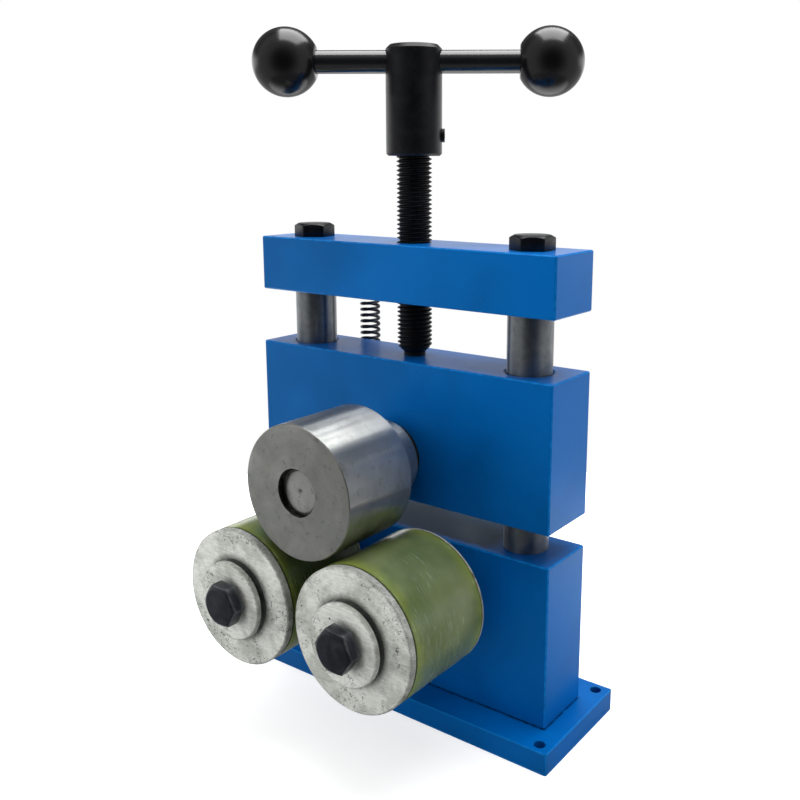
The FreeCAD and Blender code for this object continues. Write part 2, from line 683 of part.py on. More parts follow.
ROLLER_END = "(roller_standoff + roller_length)"
CORE_START = "(roller_standoff + rear_plate_thick)"
CORE_END = f"({ROLLER_END} - plate_thick)"
REAR_BEARING = "(roller_standoff + bearing_recess)"
FRONT_BEARING = f"({ROLLER_END} - bearing_recess - bearing_width)"
REAR_BEARING_END = f"({REAR_BEARING} + bearing_width)"
FRONT_BEARING_END = f"({FRONT_BEARING} + bearing_width)"
WASHER_START = f"({ROLLER_END} + end_washer_gap)"
WASHER_END = f"({WASHER_START} + end_washer_thick)"
BEARING_SEAT = "(bearing_dia / 2 + seat_fit)"
CORE_OUTER = "(roller_dia / 2 - sleeve_wall)"


def on_roller_axis(name, side, outline):
    x = shift(ROLLER_X, side)
    return turned(name, outline, x=x, y=BLOCK_FRONT, z=ROLLER_Z, turn=TO_FRONT)


def make_roller_shell(name, side):
    """Sleeve, core and the two end plates of one lower roller."""
    outer = "(roller_dia / 2)"
    sleeve = tube_outline(f"({CORE_OUTER} + seat_fit)", outer, CORE_START, CORE_END)
    keep(f"{name}_roller_sleeve", on_roller_axis(f"{name}_roller_sleeve", side, sleeve))
    narrow = f"({BEARING_SEAT} - seat_step)"
    core = [
        (BEARING_SEAT, CORE_START), (CORE_OUTER, CORE_START), (CORE_OUTER, CORE_END),
        (BEARING_SEAT, CORE_END), (BEARING_SEAT, FRONT_BEARING), (narrow, FRONT_BEARING),
        (narrow, REAR_BEARING_END), (BEARING_SEAT, REAR_BEARING_END),
    ]
    keep(f"{name}_roller_core", on_roller_axis(f"{name}_roller_core", side, core))
    for end, start, stop, break_size in (
        ("rear", "roller_standoff", CORE_START, "(rear_plate_thick / 4)"),
        ("front", CORE_END, ROLLER_END, "plate_break"),
    ):
        plate = tube_outline(BEARING_SEAT, outer, start, stop, break_size)
        keep(f"{name}_{end}_plate", on_roller_axis(f"{name}_{end}_plate", side, plate))


def bearing_ring(name, side, inner, outer, start):
    """One ring of a ball bearing with its race."""
    end = f"({start} + bearing_width)"
    body = on_roller_axis(name, side, tube_outline(inner, outer, start, end))
    sketch = new_sketch(body, "XZ_Plane")
    draw_circle(sketch, "(ball_dia / 2 + ball_fit)", BALL_CIRCLE, f"({start} + bearing_width / 2)")
    turn_profile(body, sketch, "PartDesign::Groove")
    return body


def bearing_balls(name, side, start):
    """The balls of one bearing, evenly spaced."""
    x = shift(ROLLER_X, side)
    y = f"({BLOCK_FRONT} - {start} - bearing_width / 2)"
    balls = []
    for number in range(round(value("ball_count"))):
        ball = doc.addObject("Part::Sphere", f"{name}_{number}")
        bind(ball, Radius="(ball_dia / 2)")
        angle = f"({number} * 360 / ball_count)"
        out, up = f"({BALL_CIRCLE} * cos({angle}))", f"({BALL_CIRCLE} * sin({angle}))"
        balls.append(place(ball, f"({x} + {out})", y, f"({ROLLER_Z} + {up})"))
    return balls


def make_bearings(name, side):
    ends = (("rear", REAR_BEARING), ("front", FRONT_BEARING))
    bore, outside = "(bearing_bore / 2 + seat_fit)", "(bearing_dia / 2)"
    inner_land = f"({BALL_CIRCLE} - ring_land)"
    outer_land = f"({BALL_CIRCLE} + ring_land)"
    inner = [bearing_ring(f"{name}_{end}_inner", side, bore, inner_land, start) for end, start in ends]
    outer = [bearing_ring(f"{name}_{end}_outer", side, outer_land, outside, start) for end, start in ends]
    balls = [ball for end, start in ends for ball in bearing_balls(f"{name}_{end}_ball", side, start)]
    group(f"{name}_bearing_inner_rings", inner)
    group(f"{name}_bearing_outer_rings", outer)
    group(f"{name}_bearing_balls", balls)


def make_axle(name, side):
    journal = "(bearing_bore / 2)"
    shoulder = "(axle_shoulder / 2)"
    thread = "(axle_thread / 2)"
    front = f"({WASHER_START} - axle_step)"
    block_back = "(axle_step - block_depth)"
    tail = "(0 - block_depth - nut_washer_thick - nut_height - thread_proud)"
    body = on_roller_axis(
        f"{name}_axle", side,
        [
            ("0", front), (f"({journal} - axle_step)", front), (journal, f"({front} - axle_step)"),
            (journal, REAR_BEARING), (shoulder, REAR_BEARING), (shoulder, "0"), (journal, "0"),
            (journal, block_back), (thread, block_back), (thread, f"({tail} + end_break)"),
            (f"({thread} - end_break)", tail), ("0", tail),
        ],
    )
    tapped = "(end_bolt_length - end_washer_thick - axle_step + drill_room)"
    primitive(
        body, "SubtractiveCylinder", z=f"({front} - {tapped})", Radius="(end_bolt / 2 + seat_fit)",
        Height=tapped,
    )
    keep(f"{name}_axle", body)
    bore, outer = "(bearing_bore / 2 + seat_fit)", "(axle_spacer_dia / 2)"
    spacers = [
        on_roller_axis(f"{name}_{part}_spacer", side, tube_outline(bore, outer, start, end))
        for part, start, end in (
            ("middle", REAR_BEARING_END, FRONT_BEARING), ("front", FRONT_BEARING_END, WASHER_START),
        )
    ]
    group(f"{name}_axle_spacers", spacers)
    hole = "(end_bolt / 2 + bolt_room)"
    washer = tube_outline(hole, "(end_washer_dia / 2)", WASHER_START, WASHER_END, "plate_break")
    keep(f"{name}_end_washer", on_roller_axis(f"{name}_end_washer", side, washer))


def axle_nut(name, side):
    """The nut on an axle's rear thread."""
    body = new_body(name)
    primitive(body, "AdditivePrism", Polygon="6", Circumradius="(nut_flats / sqrt(3))", Height="nut_height")
    primitive(body, "SubtractiveCylinder", Radius="(axle_thread / 2 + seat_fit)", Height="nut_height")
    y = f"({BLOCK_BACK} + nut_washer_thick)"
    return place(body, x=shift(ROLLER_X, side), y=y, z=ROLLER_Z, turn=TO_BACK)


def make_axle_fasteners():
    bolts, nuts, washers = [], [], []
    hole = "(axle_thread / 2 + bolt_room)"
    start, end = "(0 - block_depth - nut_washer_thick)", "(0 - block_depth)"
    washer_outline = tube_outline(hole, "(nut_washer_dia / 2)", start, end)
    for name, side in SIDES:
        x, y = shift(ROLLER_X, side), f"({BLOCK_FRONT} - {WASHER_END})"
        where = {"x": x, "y": y, "z": ROLLER_Z, "turn": TO_FRONT}
        bolts.append(hexagon_bolt(f"{name}_end_bolt", "end_bolt", "end_bolt_length", **where))
        nuts.append(axle_nut(f"{name}_axle_nut", side))
        washers.append(on_roller_axis(f"{name}_nut_washer", side, washer_outline))
    group("axle_end_bolts", bolts)
    group("axle_nuts", nuts)
    group("axle_nut_washers", washers)


# ---------------------------------------------------------------- build and export

make_base_plate()
make_lower_block()
make_slider_block()
make_top_bar()
make_posts()
make_top_bar_bolts()
make_foot_screws()
make_hook_screws()
make_springs()
make_press_screw()
make_hub()
make_grub_screw()
make_cross_bar()
make_knobs()
make_top_roller()
make_top_shaft()
make_bushes()
make_shaft_retainers()
for side_name, side_sign in SIDES:
    make_roller_shell(side_name, side_sign)
    make_bearings(side_name, side_sign)
    make_axle(side_name, side_sign)
make_axle_fasteners()

doc.recompute()
for item in doc.Objects:
    if "Invalid" in item.State or "Error" in item.State:
        raise RuntimeError(f"{item.Label} failed: {item.State}")
for label, item in nodes.items():
    if item.Shape.isNull() or not item.Shape.isValid() or not item.Shape.Solids:
        raise RuntimeError(f"{label} has no valid shape")

os.makedirs("parts", exist_ok=True)
for label, item in nodes.items():
    item.Shape.exportStep(f"parts/{label}.step")
    box = item.Shape.BoundBox
    spans = [f"{end:.2f}" for end in (box.XMin, box.XMax, box.YMin, box.YMax, box.ZMin, box.ZMax)]
    print(label, len(item.Shape.Solids), "solid(s)", f"{item.Shape.Volume:.0f} mm3", *spans)
print(len(nodes), "nodes")
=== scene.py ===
import math

import bmesh
import bpy
from mathutils import Matrix, Vector


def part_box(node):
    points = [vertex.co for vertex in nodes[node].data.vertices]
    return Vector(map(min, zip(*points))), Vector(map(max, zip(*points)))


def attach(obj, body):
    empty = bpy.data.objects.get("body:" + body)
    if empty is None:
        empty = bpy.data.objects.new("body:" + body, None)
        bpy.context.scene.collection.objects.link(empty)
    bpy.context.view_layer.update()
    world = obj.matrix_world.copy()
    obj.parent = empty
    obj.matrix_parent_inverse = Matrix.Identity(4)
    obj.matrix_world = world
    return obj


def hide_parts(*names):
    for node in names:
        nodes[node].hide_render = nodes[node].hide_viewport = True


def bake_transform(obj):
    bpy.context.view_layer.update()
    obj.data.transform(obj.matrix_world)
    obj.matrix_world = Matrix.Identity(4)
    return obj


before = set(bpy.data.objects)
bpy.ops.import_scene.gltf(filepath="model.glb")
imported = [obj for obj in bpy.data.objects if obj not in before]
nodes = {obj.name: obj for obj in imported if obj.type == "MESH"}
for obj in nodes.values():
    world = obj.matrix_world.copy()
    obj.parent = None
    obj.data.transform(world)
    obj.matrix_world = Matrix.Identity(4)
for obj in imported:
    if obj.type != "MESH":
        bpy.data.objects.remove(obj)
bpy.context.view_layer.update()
mm = 0.001
sides = ("left", "right")
print("frame loaded:", len(nodes), "nodes")

# the camera, low and to the right of the rollers

camera = {
    "turn": 36.021, "rise": 11.494, "roll": 0.10,  # degrees
    "distance": 0.493459, "aim": (-0.02327, 0.05089, 0.15479), "nearest": 0.01,  # metres
    "lens": 42.208, "sensor": 36, "shiftX": -0.0483, "shiftY": -0.0613,
}


def placement(across, upright, outward, where):
    rows = [(across[i], upright[i], outward[i], where[i]) for i in range(3)]
    return Matrix(rows + [(0, 0, 0, 1)])


def makeCamera():
    turn, rise, roll = (math.radians(camera[key]) for key in ("turn", "rise", "roll"))
    back = Vector((math.sin(turn) * math.cos(rise), -math.cos(turn) * math.cos(rise), math.sin(rise)))
    right = Vector((math.cos(turn), math.sin(turn), 0))
    up = back.cross(right)
    across = right * math.cos(roll) + up * math.sin(roll)
    upright = up * math.cos(roll) - right * math.sin(roll)
    data = bpy.data.cameras.new("benchCamera")
    data.lens = camera["lens"]
    data.sensor_width = camera["sensor"]
    data.shift_x = camera["shiftX"]
    data.shift_y = camera["shiftY"]
    data.clip_start = camera["nearest"]
    eye = bpy.data.objects.new("benchCamera", data)
    bpy.context.scene.collection.objects.link(eye)
    eye.matrix_world = placement(across, upright, back, Vector(camera["aim"]) + back * camera["distance"])
    bpy.context.scene.camera = eye


makeCamera()

# small helpers for shaping

sliver = {"afterCut": 0.02, "afterBevel": 0.004}  # millimetres, shorter edges are merged


def clearSelection():
    if bpy.context.object and bpy.context.object.mode != "OBJECT":
        bpy.ops.object.mode_set(mode="OBJECT")
    bpy.ops.object.select_all(action="DESELECT")


def takeUp(piece):
    clearSelection()
    piece.select_set(True)
    bpy.context.view_layer.objects.active = piece


def called(name):
    piece = bpy.context.view_layer.objects.active
    piece.name = name
    piece.data.name = name
    return piece


def pickFaces(piece, test):  # selects the faces that pass the test, in edit mode
    bm = bmesh.from_edit_mesh(piece.data)
    bm.select_mode = {"FACE"}
    for element in list(bm.faces) + list(bm.edges) + list(bm.verts):
        element.select = False
    for face in bm.faces:
        if test(face):
            face.select_set(True)
    bmesh.update_edit_mesh(piece.data)


def useModifier(piece, kind, **settings):
    takeUp(piece)
    modifier = piece.modifiers.new("step", kind)
    for key, value in settings.items():
        setattr(modifier, key, value)
    bpy.ops.object.modifier_apply(modifier="step")


def turnPiece(name, rings, sides):  # a solid turned about Z, from rings of radius and height
    clearSelection()
    radius, height = rings[0]
    bpy.ops.mesh.primitive_circle_add(
        vertices=sides, radius=radius, fill_type="NGON", location=(0, 0, height))
    piece = called(name)
    bpy.ops.object.mode_set(mode="EDIT")
    bpy.ops.mesh.select_all(action="SELECT")
    for nextRadius, nextHeight in rings[1:]:
        bpy.ops.mesh.extrude_region_move(TRANSFORM_OT_translate={"value": (0, 0, nextHeight - height)})
        scale = nextRadius / radius
        bpy.ops.transform.resize(value=(scale, scale, 1), center_override=(0, 0, nextHeight))
        radius, height = nextRadius, nextHeight
    bpy.ops.mesh.select_all(action="SELECT")
    bpy.ops.mesh.remove_doubles(threshold=1e-6)
    bpy.ops.mesh.normals_make_consistent(inside=False)
    bpy.ops.object.mode_set(mode="OBJECT")
    bpy.ops.object.transform_apply(location=True, rotation=True, scale=True)
    return piece


def mergeSlivers(piece, reach):
    takeUp(piece)
    bpy.ops.object.mode_set(mode="EDIT")
    bpy.ops.mesh.select_all(action="SELECT")
    bpy.ops.mesh.remove_doubles(threshold=reach * mm)
    bpy.ops.mesh.dissolve_degenerate(threshold=reach * mm)
    bpy.ops.object.mode_set(mode="OBJECT")


def cutWith(piece, tool, operation):  # intersect or difference; the tool is used up
    useModifier(piece, "BOOLEAN", object=tool, operation=operation, solver="EXACT")
    bpy.data.objects.remove(tool)
    mergeSlivers(piece, sliver["afterCut"])
    if len(piece.data.polygons) < 6:
        raise RuntimeError(piece.name + " came back empty")


def softenEdges(piece, width, segments, angle):
    useModifier(piece, "BEVEL", width=width, segments=segments, limit_method="ANGLE",
                angle_limit=math.radians(angle))
    mergeSlivers(piece, sliver["afterBevel"])


def smoothFaces(piece, angle):
    takeUp(piece)
    bpy.ops.object.shade_smooth_by_angle(angle=math.radians(angle))


def setDown(piece, where, spin=(0, 0, 0)):  # turns a piece made at the origin and puts it in its place
    takeUp(piece)
    piece.rotation_euler = [math.radians(angle) for angle in spin]
    piece.location = where
    bpy.ops.object.transform_apply(location=True, rotation=True, scale=True)


def twinOf(piece):  # a copy with its own mesh
    twin = piece.copy()
    twin.data = piece.data.copy()
    bpy.context.scene.collection.objects.link(twin)
    return twin


def joined(name, pieces):
    clearSelection()
    for piece in pieces:
        piece.select_set(True)
    bpy.context.view_layer.objects.active = pieces[0]
    bpy.ops.object.join()
    return called(name)


def middle(node):
    low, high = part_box(node)
    return (low + high) / 2


def fit(piece, body, finish, node):  # node is the one that it stands for
    piece.data.materials.clear()
    piece.data.materials.append(finish)
    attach(piece, body)
    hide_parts(node)


# small helpers for finishes; patterns are measured in millimetres

sockets = {
    "color": "Base Color", "roughness": "Roughness", "metallic": "Metallic", "normal": "Normal",
    "specular": "Specular IOR Level", "specularTint": "Specular Tint", "tangent": "Tangent",
    "anisotropy": "Anisotropic", "grooves": "Anisotropic Rotation", "subsurface": "Subsurface Weight",
    "subsurfaceReach": "Subsurface Radius", "subsurfaceScale": "Subsurface Scale",
    "transmission": "Transmission Weight", "ior": "IOR",
}


def addNode(tree, kind, settings=None, feeds=None):
    node = tree.nodes.new("ShaderNode" + kind)
    for key, value in (settings or {}).items():
        setattr(node, key, value)
    for key, value in (feeds or {}).items():
        if isinstance(value, bpy.types.NodeSocket):
            tree.links.new(value, node.inputs[key])
        else:
            node.inputs[key].default_value = value
    return node


def newFinish(name):
    finish = bpy.data.materials.new(name)
    finish.use_nodes = True
    tree = finish.node_tree
    return finish, tree, tree.nodes["Principled BSDF"]


def connect(tree, shader, **feeds):
    for key, value in feeds.items():
        socket = shader.inputs[sockets[key]]
        if isinstance(value, bpy.types.NodeSocket):
            tree.links.new(value, socket)
        else:
            socket.default_value = value


def sRGB(red, green, blue):
    parts = []
    for part in (red, green, blue):
        part /= 255
        parts.append(part / 12.92 if part <= 0.04045 else ((part + 0.055) / 1.055) ** 2.4)
    return (*parts, 1)


def calc(tree, operation, *values):
    return addNode(tree, "Math", {"operation": operation}, dict(enumerate(values))).outputs[0]


def add(tree, first, second):
    return calc(tree, "ADD", first, second)


def times(tree, first, second):
    return calc(tree, "MULTIPLY", first, second)


def gain(tree, value, factor, base):  # base plus factor times the value
    return calc(tree, "MULTIPLY_ADD", value, factor, base)


def hypotenuse(tree, first, second):
    return calc(tree, "SQRT", add(tree, times(tree, first, first), times(tree, second, second)))


def ease(tree, value, start, end, low=0.0, high=1.0):  # smooth step from low at start to high at end
    feeds = {"Value": value, "From Min": start, "From Max": end, "To Min": low, "To Max": high}
    return addNode(tree, "MapRange", {"interpolation_type": "SMOOTHSTEP"}, feeds).outputs[0]


def grain(tree, where, scale, detail, roughness=0.5, distortion=0.0):
    feeds = {
        "Vector": where, "Scale": scale, "Detail": detail, "Roughness": roughness, "Distortion": distortion,
    }
    return addNode(tree, "TexNoise", {}, feeds).outputs[0]


def dots(tree, where, scale, chosenFrom, chosenTo, rim, core):  # round marks in some cells of a scatter
    cells = addNode(tree, "TexVoronoi", {}, {"Vector": where, "Scale": scale})
    chosen = ease(tree, axes(tree, cells.outputs["Color"])[0], chosenFrom, chosenTo)
    return times(tree, ease(tree, cells.outputs["Distance"], rim, core), chosen)


def mixColor(tree, amount, first, second):
    return addNode(tree, "Mix", {"data_type": "RGBA"}, {0: amount, 6: first, 7: second}).outputs[2]


def mixValue(tree, amount, first, second):
    return addNode(tree, "Mix", {}, {0: amount, 2: first, 3: second}).outputs[0]


def tinge(tree, colour, amount, tone):  # lays a tone over the colour
    return mixColor(tree, amount, colour, sRGB(*tone))


def mapped(tree, centre=(0, 0, 0), scale=(1, 1, 1)):  # millimetres from a centre, stretched by scale
    source = addNode(tree, "TexCoord").outputs["Object"]
    factors = [1000 * part for part in scale]
    offset = [-1000 * c * s for c, s in zip(centre, scale)]
    feeds = {"Vector": source, "Location": offset, "Scale": factors}
    return addNode(tree, "Mapping", {}, feeds).outputs[0]


def axes(tree, vector):
    return addNode(tree, "SeparateXYZ", {}, {0: vector}).outputs


def fromAxes(tree, x, y, z):
    return addNode(tree, "CombineXYZ", {}, {0: x, 1: y, 2: z}).outputs[0]


def relief(tree, height, depth, normal=None):  # depth in millimetres
    feeds = {"Height": height, "Distance": depth * mm, "Strength": 1.0}
    if normal is not None:
        feeds["Normal"] = normal
    return addNode(tree, "Bump", {}, feeds).outputs[0]


def roundedEdges(tree, radius):  # millimetres
    return addNode(tree, "Bevel", {"samples": 4}, {"Radius": radius * mm}).outputs[0]


def farFromEdge(tree, spot, half):  # millimetres to the nearest edge of a box, from a point on its faces
    gaps = []
    for part, reach in zip(axes(tree, spot), half):
        gaps.append(calc(tree, "SUBTRACT", reach * 1000, calc(tree, "ABSOLUTE", part)))
    least = calc(tree, "MINIMUM", gaps[0], gaps[1])
    most = calc(tree, "MAXIMUM", gaps[0], gaps[1])
    return calc(tree, "MAXIMUM", least, calc(tree, "MINIMUM", most, gaps[2]))


# blue paint on the base, blocks and bar

bluePaint = {
    "deep": (0, 84, 154), "bright": (0, 98, 178), "shade": (0, 60, 132), "rubbed": (22, 132, 214),
    "speck": (6, 20, 46), "grime": (3, 14, 34), "topPatchDark": (22, 36, 48), "topPatchLight": (38, 52, 58),
    "shadeAmount": 0.16, "edgeWearAndHighlightAmount": 0.55, "speckAmount": 0.8, "grimeAmount": 0.7, "topPatchAmount": 0.9,
    "roughness": 0.25, "gloss": 0.3, "tint": (0.06, 0.7, 1.0, 1.0),
    "peelSize": 0.9, "peelDepth": 0.03, "edgeWidth": 0.8, "edgeRound": 0.5, "grimeWidth": 0.8,
    "topPatchSides": (-26.0, -36.0),  # where the dark patch on the lower block's top lies, in from the block's sides
    "topPatchFront": (-13.5, -11.5),  # and along Y from its middle
}


def paintFinish(node):
    finish, tree, shader = newFinish("bluePaint_" + node)
    low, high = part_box(node)
    spot = mapped(tree, (low + high) / 2)
    cloud = grain(tree, spot, 0.018, 2)
    fine = grain(tree, spot, 0.35, 3, 0.6)
    deep, bright = sRGB(*bluePaint["deep"]), sRGB(*bluePaint["bright"])
    colour = mixColor(tree, ease(tree, cloud, 0.35, 0.65), deep, bright)
    colour = tinge(tree, colour, times(tree, fine, bluePaint["shadeAmount"]), bluePaint["shade"])
    edge = farFromEdge(tree, spot, (high - low) / 2)
    wobble = gain(tree, grain(tree, spot, 0.4, 3), 1.2, -0.6)
    # edge wear with painted highlight: lighter blue along the block's edges
    rubbed = ease(tree, add(tree, edge, wobble), bluePaint["edgeWidth"], 0.1)
    colour = tinge(tree, colour, times(tree, rubbed, bluePaint["edgeWearAndHighlightAmount"]), bluePaint["rubbed"])
    speck = dots(tree, spot, 0.14, 0.70, 0.72, 0.055, 0.035)
    colour = tinge(tree, colour, times(tree, speck, bluePaint["speckAmount"]), bluePaint["speck"])
    if node in ("base_plate", "lower_block"):
        colour = jointDirtAndTopPatch(tree, colour, node, spot, fine, wobble)
    smear = grain(tree, spot, 0.05, 4, 0.65, 0.5)
    rough = gain(tree, smear, 0.12, bluePaint["roughness"])
    rough = gain(tree, rubbed, 0.12, rough)
    peel = grain(tree, spot, bluePaint["peelSize"], 2, 0.55)
    rounded = roundedEdges(tree, bluePaint["edgeRound"])
    normal = relief(tree, gain(tree, speck, 0.6, peel), bluePaint["peelDepth"], rounded)
    connect(tree, shader, color=colour, roughness=rough, normal=normal,
            specular=bluePaint["gloss"], specularTint=bluePaint["tint"])
    return finish


def jointDirtAndTopPatch(tree, colour, node, spot, fine, wobble):  # in the joint of base and lower block, with a dark grey-green patch on the block's top
    low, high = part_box("lower_block")
    half = (high - low) * 500
    x, y, z = axes(tree, mapped(tree, (low + high) / 2))
    aside = []
    for part, reach in ((x, half.x), (y, half.y)):
        aside.append(calc(tree, "SUBTRACT", calc(tree, "ABSOLUTE", part), reach))
    gap = calc(tree, "MAXIMUM", *aside)
    if node == "lower_block":
        gap = add(tree, z, half.z)
        # darker grey-green on the lower block's top, under the slider, away from its sides and front edge
        over = ease(tree, z, half.z - 0.8, half.z - 0.2)
        ragged = gain(tree, grain(tree, spot, 0.25, 4, 0.7), 5.0, -2.5)
        inside = times(tree, ease(tree, add(tree, aside[0], ragged), *bluePaint["topPatchSides"]),
                       ease(tree, add(tree, y, ragged), *bluePaint["topPatchFront"]))
        topPatch = mixColor(tree, fine, sRGB(*bluePaint["topPatchDark"]), sRGB(*bluePaint["topPatchLight"]))
        colour = mixColor(tree, times(tree, times(tree, over, inside), bluePaint["topPatchAmount"]), colour, topPatch)
    grime = times(tree, ease(tree, add(tree, gap, wobble), bluePaint["grimeWidth"], 0.1),
                  ease(tree, fine, 0.3, 0.6))
    return tinge(tree, colour, times(tree, grime, bluePaint["grimeAmount"]), bluePaint["grime"])


# ground steel, turned about Y

steel = {
    "light": (216, 217, 212), "dark": (196, 198, 194), "stain": (128, 128, 120), "dirtAndShade": (16, 16, 15),
    "shaftLight": (250, 251, 246), "shaftDark": (228, 229, 224),
    "axleLight": (170, 171, 169), "axleDark": (130, 131, 131),
    "rollerRough": (0.28, 0.5), "shaftRough": (0.36, 0.48), "axleRough": (0.36, 0.45),  # round, then ends
    "rollerRecessShade": (8.0, 10.5), "shaftRecessShade": (9.2, 12.0),  # painted shade and dirt in the recess round the shaft's front end, from the axis
    "lines": 0.25, "dabs": 0.5, "worn": 0.3,  # how strongly each one shows
    "wave": 0.6, "lineDepth": 0.0012, "edgeRound": 0.25, "anisotropy": 0.9, "grooves": 0.25,
}


def groundSteel(name, centre, light, dark, rough, seam=None):
    finish, tree, shader = newFinish(name)
    spot = mapped(tree, centre)
    x, y, z = axes(tree, spot)
    radius = hypotenuse(tree, x, z)
    facing = axes(tree, addNode(tree, "TexCoord").outputs["Normal"])[1]
    isFace = ease(tree, calc(tree, "ABSOLUTE", facing), 0.6, 0.9)
    rounds = fromAxes(tree, times(tree, x, 0.02), y, times(tree, z, 0.02))
    ringed = fromAxes(tree, radius, times(tree, y, 0.1), times(tree, x, 0.012))
    grindLines = grain(tree, rounds, 3.5, 3, 0.6)
    turnLines = grain(tree, ringed, 2.2, 3, 0.6)
    lines = mixValue(tree, isFace, grindLines, turnLines)
    cloud = grain(tree, spot, 0.06, 4, 0.6, 0.6)
    colour = mixColor(tree, ease(tree, cloud, 0.35, 0.7), sRGB(*dark), sRGB(*light))
    colour = tinge(tree, colour, times(tree, lines, steel["lines"]), steel["stain"])
    dab = ease(tree, grain(tree, spot, 0.3, 6, 0.78, 0.6), 0.54, 0.68)
    colour = tinge(tree, colour, times(tree, dab, steel["dabs"]), steel["stain"])
    worn = ease(tree, grain(tree, spot, 0.045, 2, 0.6), 0.35, 0.65)
    colour = tinge(tree, colour, times(tree, worn, steel["worn"]), steel["stain"])
    # painted shade with some dirt: darkens the recess round the shaft's front end
    if seam:
        near, far = seam
        dirtAndShade = times(tree, ease(tree, radius, near, near + 0.3), ease(tree, radius, far, far - 0.3))
        dirtAndShade = times(tree, dirtAndShade, ease(tree, y, -16.0, -17.5))
        dirtAndShade = times(tree, dirtAndShade, ease(tree, grain(tree, spot, 0.35, 3), 0.2, 0.5, 0.75, 0.97))
        colour = tinge(tree, colour, dirtAndShade, steel["dirtAndShade"])
    roughness = add(tree, ease(tree, isFace, 0, 1, *rough), times(tree, lines, 0.12))
    roughness = gain(tree, dab, 0.1, roughness)
    wave = grain(tree, mapped(tree, centre, (1, 0.03, 1)), 0.12, 1)
    wave = times(tree, wave, calc(tree, "SUBTRACT", 1.0, isFace))
    normal = relief(tree, wave, steel["wave"], roundedEdges(tree, steel["edgeRound"]))
    normal = relief(tree, lines, steel["lineDepth"], normal)
    turning = addNode(tree, "Tangent", {"direction_type": "RADIAL", "axis": "Y"}).outputs[0]
    tangents = {0: times(tree, isFace, 0.8), 4: turning, 5: (1, 0, 0)}
    tangent = addNode(tree, "Mix", {"data_type": "VECTOR"}, tangents).outputs[1]
    connect(tree, shader, color=colour, roughness=roughness, normal=normal, metallic=1, tangent=tangent,
            anisotropy=steel["anisotropy"], grooves=steel["grooves"])
    return finish


# guide posts, ground about Z

postSteel = {
    "dark": (124, 129, 134), "light": (154, 159, 162), "drawn": (100, 101, 98), "pit": (40, 38, 34),
    "roughness": 0.28, "pitDepth": 0.004, "edgeRound": 0.25, "anisotropy": 0.8, "grooves": 0.25,
}


def postFinish(name, centre):
    finish, tree, shader = newFinish(name)
    spot = mapped(tree, centre)
    drawn = grain(tree, mapped(tree, centre, (0.02, 0.02, 1)), 1.6, 3, 0.6)
    cloud = grain(tree, spot, 0.09, 4, 0.65, 0.4)
    dark, light = sRGB(*postSteel["dark"]), sRGB(*postSteel["light"])
    colour = mixColor(tree, ease(tree, cloud, 0.3, 0.7), dark, light)
    colour = tinge(tree, colour, times(tree, drawn, 0.3), postSteel["drawn"])
    pit = dots(tree, spot, 0.3, 0.82, 0.84, 0.12, 0.07)
    colour = tinge(tree, colour, times(tree, pit, 0.7), postSteel["pit"])
    rough = gain(tree, drawn, 0.10, gain(tree, cloud, 0.12, postSteel["roughness"]))
    height = calc(tree, "SUBTRACT", drawn, pit)
    normal = relief(tree, height, postSteel["pitDepth"], roundedEdges(tree, postSteel["edgeRound"]))
    turning = addNode(tree, "Tangent", {"direction_type": "RADIAL", "axis": "Z"}).outputs[0]
    connect(tree, shader, color=colour, roughness=rough, normal=normal, metallic=1, tangent=turning,
            anisotropy=postSteel["anisotropy"], grooves=postSteel["grooves"])
    return finish


# zinc plate on the rollers' end plates, washers and nuts

zinc = {
    "light": (234, 236, 229), "dull": (194, 198, 189), "spot": (26, 26, 22), "grey": (128, 130, 122),
    # the grime colour also paints the shadow round the seats
    "grime": (54, 54, 48), "spotAmount": 0.85, "rimGrime": 0.6, "seatDirtAndShadow": 0.75,
    "roughness": 0.36, "metallic": 0.12, "markDepth": 0.012, "edgeRound": 0.3,
    "seats": {"front_plate": 17.5, "end_washer": 9.6},  # radius, in millimetres, of what sits on the face
}


